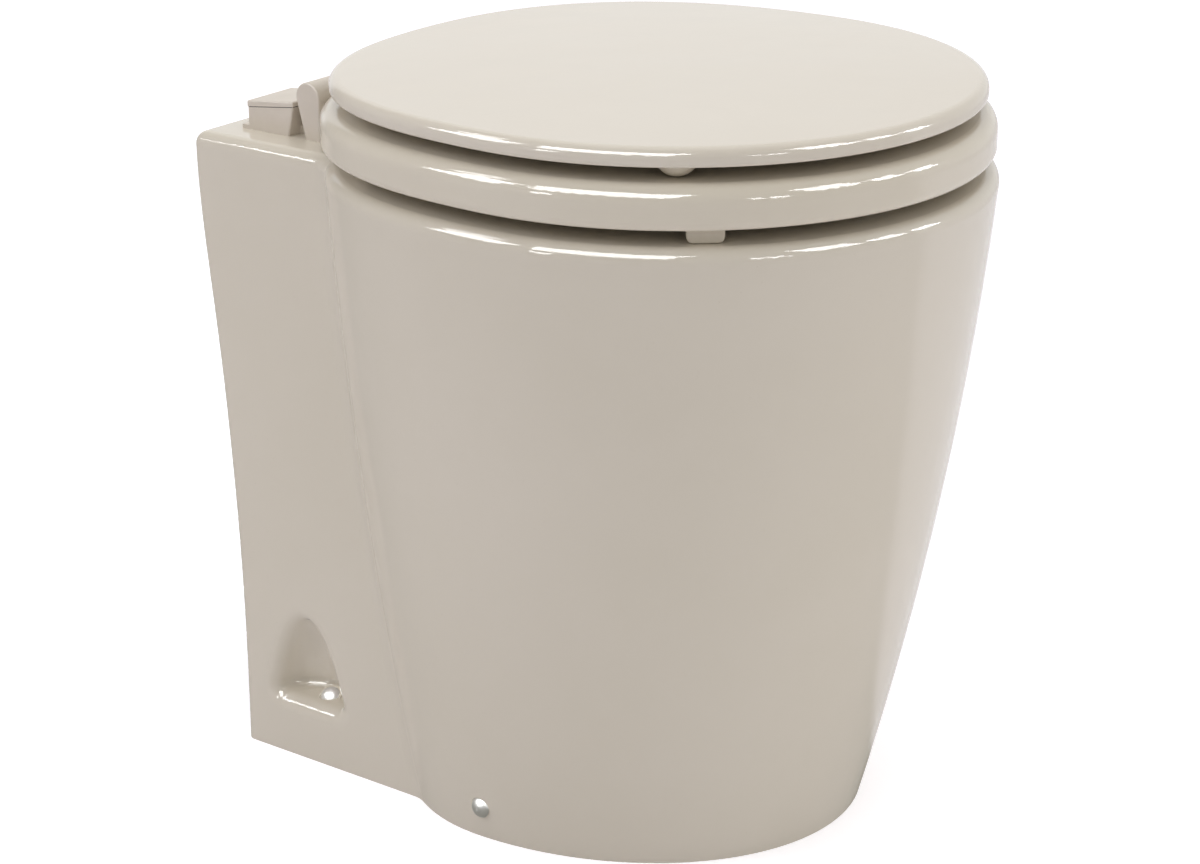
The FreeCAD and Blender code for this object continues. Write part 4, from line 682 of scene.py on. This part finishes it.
@dataclass(frozen=True)
class CapSeamShade:
    """A thin dark strip of painted shade in each hinge cap's seam groove, standing in for the
    shadow line under each cap.
    """

    front_rise: float = 0.0185
    rear_rise: float = 0.0137
    thickness: float = 0.00035
    inset: float = 0.00015
    corner: float = 0.0012
    corner_steps: int = 3
    width: float = 0.002

    def build(self, paint: Paintwork) -> None:
        """Make one sloping dark strip of painted shade under each cap."""
        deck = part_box("bowl_pedestal")[1].z
        front, rear = deck + self.front_rise, deck + self.rear_rise
        for side in ("left", "right"):
            low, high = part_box(f"hinge_cap_{side}")
            shape = self.ring(high.x - low.x - 2 * self.inset, high.y - low.y - 2 * self.inset)
            slope = Matrix.Identity(4)
            slope[2][1] = (rear - front) / (high.y - low.y)
            middle = Vector(((low.x + high.x) / 2, (low.y + high.y) / 2, (front + rear) / 2))
            bmesh.ops.transform(shape, matrix=Matrix.Translation(middle) @ slope,
                                verts=shape.verts)
            # Painted shade: a dark strip with the rubber finish stands in for the shadow in the
            # cap's seam groove.
            new_piece(f"hinge_cap_seal_{side}", shape, "rubber", "root", paint)

    def ring(self, wide: float, deep: float) -> Shape:
        """A flat ring with rounded corners, lying about the origin.

        Args:
            wide: Its outer size across.
            deep: Its outer size from front to rear.

        Returns:
            The ring, one thickness high.
        """
        shape = bmesh.new()
        made = bmesh.ops.create_grid(shape, x_segments=1, y_segments=1, size=0.5)
        bmesh.ops.scale(shape, vec=(wide, deep, 1.0), verts=made["verts"])
        bmesh.ops.bevel(shape, geom=made["verts"], offset=self.corner, segments=self.corner_steps,
                        profile=0.5, affect="VERTICES", material=-1)
        inner = list(shape.faces)
        bmesh.ops.inset_region(shape, faces=inner, thickness=self.width, use_boundary=True,
                               use_even_offset=True)
        bmesh.ops.delete(shape, geom=inner, context="FACES")
        above = bmesh.ops.extrude_face_region(shape, geom=list(shape.faces))["geom"]
        bmesh.ops.translate(shape, vec=(0.0, 0.0, self.thickness),
                            verts=[item for item in above if isinstance(item, bmesh.types.BMVert)])
        return shape


@dataclass(frozen=True)
class MotorTrim:
    """Rolled beads round the motor can, and a ribbed, bolted crown on its end cap."""

    bead_rise: float = 0.0008
    bead_half: float = 0.0018
    bead_inset: float = 0.007
    bead_points: int = 7
    boss_radius: float = 0.0105
    boss_height: float = 0.0015
    boss_soften: float = 0.0005
    rib_reach: float = 0.0265
    rib_width: float = 0.0018
    rib_height: float = 0.0012
    rib_sunk: float = 0.0006
    rib_rounding: float = 0.00045
    rib_turns: tuple[float, ...] = (60.0, 120.0, 150.0, 180.0, 210.0, 240.0, 300.0)
    bolt_circle: float = 0.0235
    bolt_turns: tuple[float, ...] = (90.0, 270.0)
    bolt: SocketScrew = SocketScrew(0.0033, 0.0028, 0.0018, 0.003, 0.0016)

    def build(self, paint: Paintwork) -> None:
        """Make the beads, the crown and its bolts."""
        low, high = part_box("motor_can")
        middle = (low + high) / 2
        top = Vector((middle.x, middle.y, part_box("motor_end_cap")[1].z))
        new_piece("motor_beads", self.beads(low, high), "motor_paint", "root", paint)
        new_piece("motor_end_ribs", self.crown(top), "motor_paint", "root", paint)
        new_piece("motor_tie_bolts", self.bolts(top), "stainless", "root", paint)

    def beads(self, low: Vector, high: Vector) -> Shape:
        """A bead near each end of the can.

        Args:
            low: The can's lowest corner.
            high: The can's highest corner.

        Returns:
            Both beads.
        """
        middle, radius = (low + high) / 2, (high.x - low.x) / 2
        inside = radius - self.bead_rise
        turns = [math.pi * (k / (self.bead_points - 1) - 0.5) for k in range(self.bead_points)]
        roll = [(radius + self.bead_rise * math.cos(turn), self.bead_half * math.sin(turn))
                for turn in turns]
        profile = [(inside, -self.bead_half), *roll, (inside, self.bead_half)]
        shape = bmesh.new()
        for z in (low.z + self.bead_inset, high.z - self.bead_inset):
            lathe(shape, profile, Vector((middle.x, middle.y, z)), UP)
        return shape

    def crown(self, top: Vector) -> Shape:
        """A flat boss with ribs that run out from it.

        Args:
            top: The middle of the end cap's top.

        Returns:
            The boss and its ribs.
        """
        radius, height, soft = self.boss_radius, self.boss_height, self.boss_soften
        shape = bmesh.new()
        lathe(shape, [(0.0, height), (radius - soft, height), (radius, height - soft),
                      (radius, -soft), (0.0, -soft)], top, UP, closed=False)
        size = (self.rib_reach - radius + self.rib_width, self.rib_width,
                self.rib_height + self.rib_sunk)
        out = Vector(((self.rib_reach + radius) / 2, 0.0, (self.rib_height - self.rib_sunk) / 2))
        for turn in self.rib_turns:
            place = (Matrix.Translation(top) @ Matrix.Rotation(math.radians(turn), 4, "Z")
                     @ Matrix.Translation(out))
            bar(shape, size, place, self.rib_rounding)
        return shape

    def bolts(self, top: Vector) -> Shape:
        """The heads of the bolts that hold the motor together.

        Args:
            top: The middle of the end cap's top.

        Returns:
            The bolts.
        """
        shape = bmesh.new()
        tall = self.bolt.head_height
        for turn in self.bolt_turns:
            spin = Matrix.Rotation(math.radians(turn), 3, "Z")
            out = spin @ Vector((self.bolt_circle, 0.0, 0.0))
            self.bolt.add(shape, top + out + UP * tall, -UP, 2 * tall)
        return shape


@dataclass(frozen=True)
class HousingTrim:
    """Stiffening ribs on the pump's chopper housing, and a lip at its top and bottom."""

    rib_turns: tuple[float, ...] = (20.0, 45.0, 70.0, 90.0, 110.0, 135.0, 160.0)
    rib_width: float = 0.0028
    rib_proud: float = 0.0018
    rib_sunk: float = 0.001
    rib_margin: float = 0.007
    rib_rounding: float = 0.0006
    lip_height: float = 0.004
    lip_rise: float = 0.0015
    lip_soften: float = 0.0005
    lip_steps: int = 64

    def build(self, paint: Paintwork) -> None:
        """Make the ribs and the lips."""
        low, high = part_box("chopper_housing")
        radius = (high.x - low.x) / 2
        axle = Vector(((high.x + low.x) / 2, high.y - radius, (low.z + high.z) / 2))
        size = (self.rib_proud + self.rib_sunk, self.rib_width,
                high.z - low.z - 2 * self.rib_margin)
        out = Vector((radius + (self.rib_proud - self.rib_sunk) / 2, 0.0, 0.0))
        shape = bmesh.new()
        for turn in self.rib_turns:
            place = (Matrix.Translation(axle) @ Matrix.Rotation(math.radians(turn), 4, "Z")
                     @ Matrix.Translation(out))
            bar(shape, size, place, self.rib_rounding)
        inside, tip, soft = radius - self.rib_sunk, radius + self.lip_rise, self.lip_soften
        profile = [(inside, 0.0), (tip - soft, 0.0), (tip, soft), (tip, self.lip_height - soft),
                   (tip - soft, self.lip_height), (inside, self.lip_height)]
        for z in (low.z, high.z - self.lip_height):
            lathe(shape, profile, Vector((axle.x, axle.y, z)), UP, steps=self.lip_steps)
        new_piece("chopper_housing_ribs", shape, "pump_plastic", "root", paint)


@dataclass(frozen=True)
class CoilTerminals:
    """Two blade terminals on the solenoid coil, with the moulded block that holds them."""

    blade: Point = (0.008, 0.0048, 0.0008)
    block: Point = (0.004, 0.008, 0.018)
    block_rounding: float = 0.0008
    margin: float = 0.0003
    spacing: float = 0.009
    corner: float = 0.0012

    def build(self, paint: Paintwork) -> None:
        """Make the block and the blades on the coil's outer end, beside the core tube."""
        low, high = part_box("solenoid_coil")
        end = Vector((high.x, high.y - self.block[1] / 2 - self.margin, (low.z + high.z) / 2))
        shape = bmesh.new()
        bar(shape, self.block, Matrix.Translation(end), self.block_rounding)
        new_piece("coil_terminal_block", shape, "pump_plastic", "root", paint)
        shape = bmesh.new()
        long = self.blade[0]
        for side in (-0.5, 0.5):
            middle = end + Vector((long / 2, 0.0, side * self.spacing))
            place = Matrix.Translation(middle) @ Matrix.Diagonal((*self.blade, 1.0))
            made = bmesh.ops.create_cube(shape, size=1.0, matrix=place)
            tip = [edge for edge in edges_of(made["verts"])
                   if min(vert.co.x for vert in edge.verts) > end.x + long - MERGE
                   and abs(edge.verts[0].co.z - edge.verts[1].co.z) > MERGE]
            bmesh.ops.bevel(shape, geom=tip, offset=self.corner, segments=1, profile=0.5,
                            affect="EDGES", material=-1)
        new_piece("coil_terminals", shape, "brass", "root", paint)


@dataclass(frozen=True)
class Viewpoint:
    """The photograph's camera, solved from its perspective."""

    place: Point = (-1.37016, -1.01947, 0.8557)
    azimuth: float = -53.0
    elevation: float = 20.363543
    roll: float = -0.451982
    lens: float = 87.962
    sensor: float = 36.0

    def build(self) -> None:
        """Set the scene's camera."""
        data = bpy.data.cameras.new("viewpoint")
        data.sensor_fit = "HORIZONTAL"
        data.sensor_width = self.sensor
        data.lens = self.lens
        camera = bpy.data.objects.new("viewpoint", data)
        bpy.context.scene.collection.objects.link(camera)
        turn, tilt = math.radians(self.azimuth), math.radians(self.roll)
        back = heading(self.azimuth, self.elevation)
        right = Vector((math.cos(turn), math.sin(turn), 0.0))
        up = back.cross(right)
        across = right * math.cos(tilt) + up * math.sin(tilt)
        upward = up * math.cos(tilt) - right * math.sin(tilt)
        facing = Matrix((across, upward, back)).transposed().to_4x4()
        camera.matrix_world = Matrix.Translation(self.place) @ facing
        bpy.context.scene.camera = camera
        LOG.info("camera set")


class Reach(Enum):
    """Which rays a lamp answers: soft light on surfaces, or only its mirror image in the gloss."""

    SOFT = "soft"
    MIRRORED = "mirrored"


@dataclass(frozen=True)
class Fill:
    """A soft lamp beside the object, its side counted in degrees to the right of the camera."""

    name: str
    side: float
    distance: float
    height: float
    wide: float
    tall: float
    power: float
    tint: Colour


@dataclass(frozen=True)
class Window:
    """A bright pane around the object, placed by angles about the seat.

    Sides are counted from the camera's heading, to the right, and rises from the horizon, all in
    degrees.
    """

    name: str
    side: float
    rise: float
    width: float
    height: float


FILLS = (Fill("right", 75.0, 2.0, 0.25, 1.4, 0.5, 1.8, (1.0, 1.0, 0.98)),
         Fill("left", -75.0, 2.0, 1.75, 1.0, 1.0, 8.0, (1.0, 0.985, 1.08)),
         Fill("low_left", -60.0, 0.95, 0.06, 0.5, 0.12, 0.4, (1.0, 0.975, 1.25)),
         Fill("low_right", 55.0, 0.95, 0.06, 0.5, 0.12, 0.85, (1.0, 0.985, 1.08)))
WINDOWS = (Window("far_left", -80.0, 34.0, 18.0, 20.0),
           Window("low_left", -49.0, 14.0, 8.0, 9.0),
           Window("main", -31.0, 44.0, 44.0, 26.0),
           Window("low_right", 24.0, 16.0, 4.0, 8.0),
           Window("low_far_right", 32.0, 16.0, 7.0, 9.0),
           Window("right", 57.0, 38.0, 18.0, 22.0),
           Window("far_right", 80.0, 30.0, 12.0, 15.0),
           Window("behind_right", 97.0, 24.0, 10.0, 12.0),
           Window("deck_rear", -99.0, 48.0, 4.0, 12.0),
           Window("deck_front", -90.0, 48.0, 2.5, 10.0))


@dataclass(frozen=True)
class Studio:
    """The floor, the soft light, the bright panes and the white surroundings."""

    zenith: Colour = (0.84, 0.824, 0.806)
    horizon: Colour = (0.08, 0.079, 0.077)
    sky_edge: float = 0.6
    sheet_side: float = 149.0
    sheet_reach: float = 61.0
    sheet_edge: float = 0.08
    bare: Colour = (0.32, 0.31, 0.27)
    floor_half: float = 6.0
    floor_colour: Colour = (0.9, 0.89, 0.93)
    floor_lift: float = 0.4
    floor_glare: float = 0.1
    top_size: float = 1.6
    top_at: Point = (0.1, -0.2, 2.4)
    top_power: float = 8.3
    window_distance: float = 3.0
    window_glow: float = 14.0
    target: Point = (0.0, -0.045, 0.42)

    def build(self) -> None:
        """Make the surroundings, the floor, the soft lamps and the panes."""
        self.surround()
        self.floor()
        self.lamp("top_light", self.top_at, (self.top_size, self.top_size), self.top_power,
                  Reach.SOFT)
        for fill in FILLS:
            away = self.towards(fill.side, 0.0) * fill.distance
            light = self.lamp(f"{fill.name}_fill", (away.x, away.y, fill.height),
                              (fill.wide, fill.tall), fill.power, Reach.SOFT)
            light.color = fill.tint
        for window in WINDOWS:
            away = self.towards(window.side, window.rise) * self.window_distance
            wide, tall = (2 * self.window_distance * math.tan(math.radians(angle) / 2)
                          for angle in (window.width, window.height))
            power = self.window_glow * math.pi * wide * tall
            self.lamp(f"window_{window.name}", tuple(Vector(self.target) + away), (wide, tall),
                      power, Reach.MIRRORED)
        LOG.info("studio ready, with %d bright panes", len(WINDOWS))

    @staticmethod
    def towards(side: float, rise: float) -> Vector:
        """A direction from the object.

        Args:
            side: Degrees to the right of the camera's heading.
            rise: Degrees above the horizon.

        Returns:
            The unit vector.
        """
        return heading(Viewpoint.azimuth + side, rise)

    @staticmethod
    def seen(tree: Tree) -> tuple[Socket, Socket]:
        """Masks of the rays that show the background.

        Args:
            tree: The tree to add the nodes to.

        Returns:
            A mask of camera, glossy and transmitted rays, and one of glossy rays alone.
        """
        path = tree.add("LightPath").outputs
        two = tree.calc("MAXIMUM", path["Is Camera Ray"], path["Is Glossy Ray"])
        three = tree.calc("MAXIMUM", two, path["Is Transmission Ray"])
        return three, path["Is Glossy Ray"]

    def off_sheet(self, tree: Tree, place: Socket, glossy: Socket) -> Socket:
        """A mask of what the gloss sees of the room beside the white sheet.

        Args:
            tree: The tree to add the nodes to.
            place: The place or direction that is looked at.
            glossy: The mask of glossy rays.

        Returns:
            The mask's socket.
        """
        level = tree.add("VectorMath", {0: place, 1: (1.0, 1.0, 0.0)}, operation="MULTIPLY")
        flat = tree.add("VectorMath", {0: level.outputs[0]}, operation="NORMALIZE")
        middle = tuple(self.towards(self.sheet_side, 0.0))
        along = tree.add("VectorMath", {0: flat.outputs[0], 1: middle}, operation="DOT_PRODUCT")
        limit = math.cos(math.radians(self.sheet_reach))
        off = tree.add("MapRange", {"Value": along.outputs["Value"],
                                    "From Min": limit + self.sheet_edge,
                                    "From Max": limit - self.sheet_edge},
                       interpolation_type="SMOOTHSTEP")
        return tree.calc("MULTIPLY", off.outputs["Result"], glossy)

    def surround(self) -> None:
        """White to look at, dimmer beside the sheet for the gloss, and a glow from above."""
        world = bpy.data.worlds.new("white_room")
        bpy.context.scene.world = world
        world.use_nodes = True
        tree = Tree(world.node_tree)
        seen, glossy = self.seen(tree)
        direction = tree.add("TexCoord").outputs["Generated"]
        room = tree.mix(Mixing.RGBA, self.off_sheet(tree, direction, glossy), WHITE, self.bare)
        rise = tree.add("SeparateXYZ", {0: direction}).outputs["Z"]
        share = tree.add("MapRange", {"Value": rise, "From Max": self.sky_edge},
                         interpolation_type="SMOOTHSTEP")
        sky = tree.mix(Mixing.RGBA, share.outputs["Result"], self.horizon, self.zenith)
        glow = tree.add("Background", {"Color": sky, "Strength": 1.0})
        white = tree.add("Background", {"Color": room, "Strength": 1.0})
        mixed = tree.add("MixShader", {0: seen, 1: glow.outputs[0], 2: white.outputs[0]})
        tree.add("OutputWorld", {"Surface": mixed.outputs[0]})

    def floor(self) -> None:
        """A pale floor that keeps the object's shadow, with a white sheet on one side."""
        mesh = bpy.data.meshes.new("studio_floor")
        shape = bmesh.new()
        bmesh.ops.create_grid(shape, x_segments=1, y_segments=1, size=self.floor_half)
        shape.to_mesh(mesh)
        shape.free()
        mesh.materials.append(self.floor_material())
        floor = bpy.data.objects.new("studio_floor", mesh)
        bpy.context.scene.collection.objects.link(floor)

    def floor_material(self) -> bpy.types.Material:
        """The floor's look: a matt white sheet, and for the gloss the bare room beside it.

        Returns:
            The material.
        """
        material = bpy.data.materials.new("pale_floor")
        material.use_nodes = True
        tree = Tree(material.node_tree)
        seen, glossy = self.seen(tree)
        matt = tree.add("BsdfDiffuse", {"Color": self.floor_colour})
        lift = tree.mix(Mixing.FLOAT, glossy, self.floor_lift, self.floor_glare)
        lift = tree.calc("MULTIPLY", lift, seen)
        glow = tree.add("Emission", {"Color": WHITE, "Strength": lift})
        sheet = tree.add("AddShader", {0: matt.outputs[0], 1: glow.outputs[0]})
        bare = tree.add("Emission", {"Color": self.bare, "Strength": 1.0})
        off = self.off_sheet(tree, tree.add("TexCoord").outputs["Object"], glossy)
        both = tree.add("MixShader", {0: off, 1: sheet.outputs[0], 2: bare.outputs[0]})
        tree.add("OutputMaterial", {"Surface": both.outputs[0]})
        return material

    def lamp(self, name: str, place: Point, size: tuple[float, float], power: float,
             reach: Reach) -> bpy.types.AreaLight:
        """Hang a flat lamp that faces the object.

        Args:
            name: The lamp's name.
            place: Where it hangs.
            size: Its width and height.
            power: Its power in watts.
            reach: Whether it lights surfaces or only shows in the gloss.

        Returns:
            The lamp's light.
        """
        light = bpy.data.lights.new(name, "AREA")
        light.shape = "RECTANGLE"
        light.size, light.size_y = size
        light.energy = power
        lamp = bpy.data.objects.new(name, light)
        facing = (Vector(place) - Vector(self.target)).to_track_quat("Z", "Y").to_matrix()
        lamp.matrix_world = Matrix.Translation(place) @ facing.to_4x4()
        lamp.visible_camera = False
        lamp.visible_glossy = reach is Reach.MIRRORED
        lamp.visible_diffuse = reach is Reach.SOFT
        bpy.context.scene.collection.objects.link(lamp)
        return light


def main() -> None:
    """Build the scene in order and report each piece."""
    logging.basicConfig(level=logging.INFO, format="%(name)s: %(message)s")
    bpy.context.scene.view_settings.view_transform = "Standard"
    paint = Paintwork()
    paint.dress_frame()
    tails = (HoseTail("discharge_tail"), HoseTail("water_inlet_tail", rise=0.0006))
    for assembly in (*SCREW_SETS, *tails, CapSeamShade(), MotorTrim(), HousingTrim(), CoilTerminals()):
        assembly.build(paint)
    Viewpoint().build()
    Studio().build()


if __name__ == "__main__":
    main()
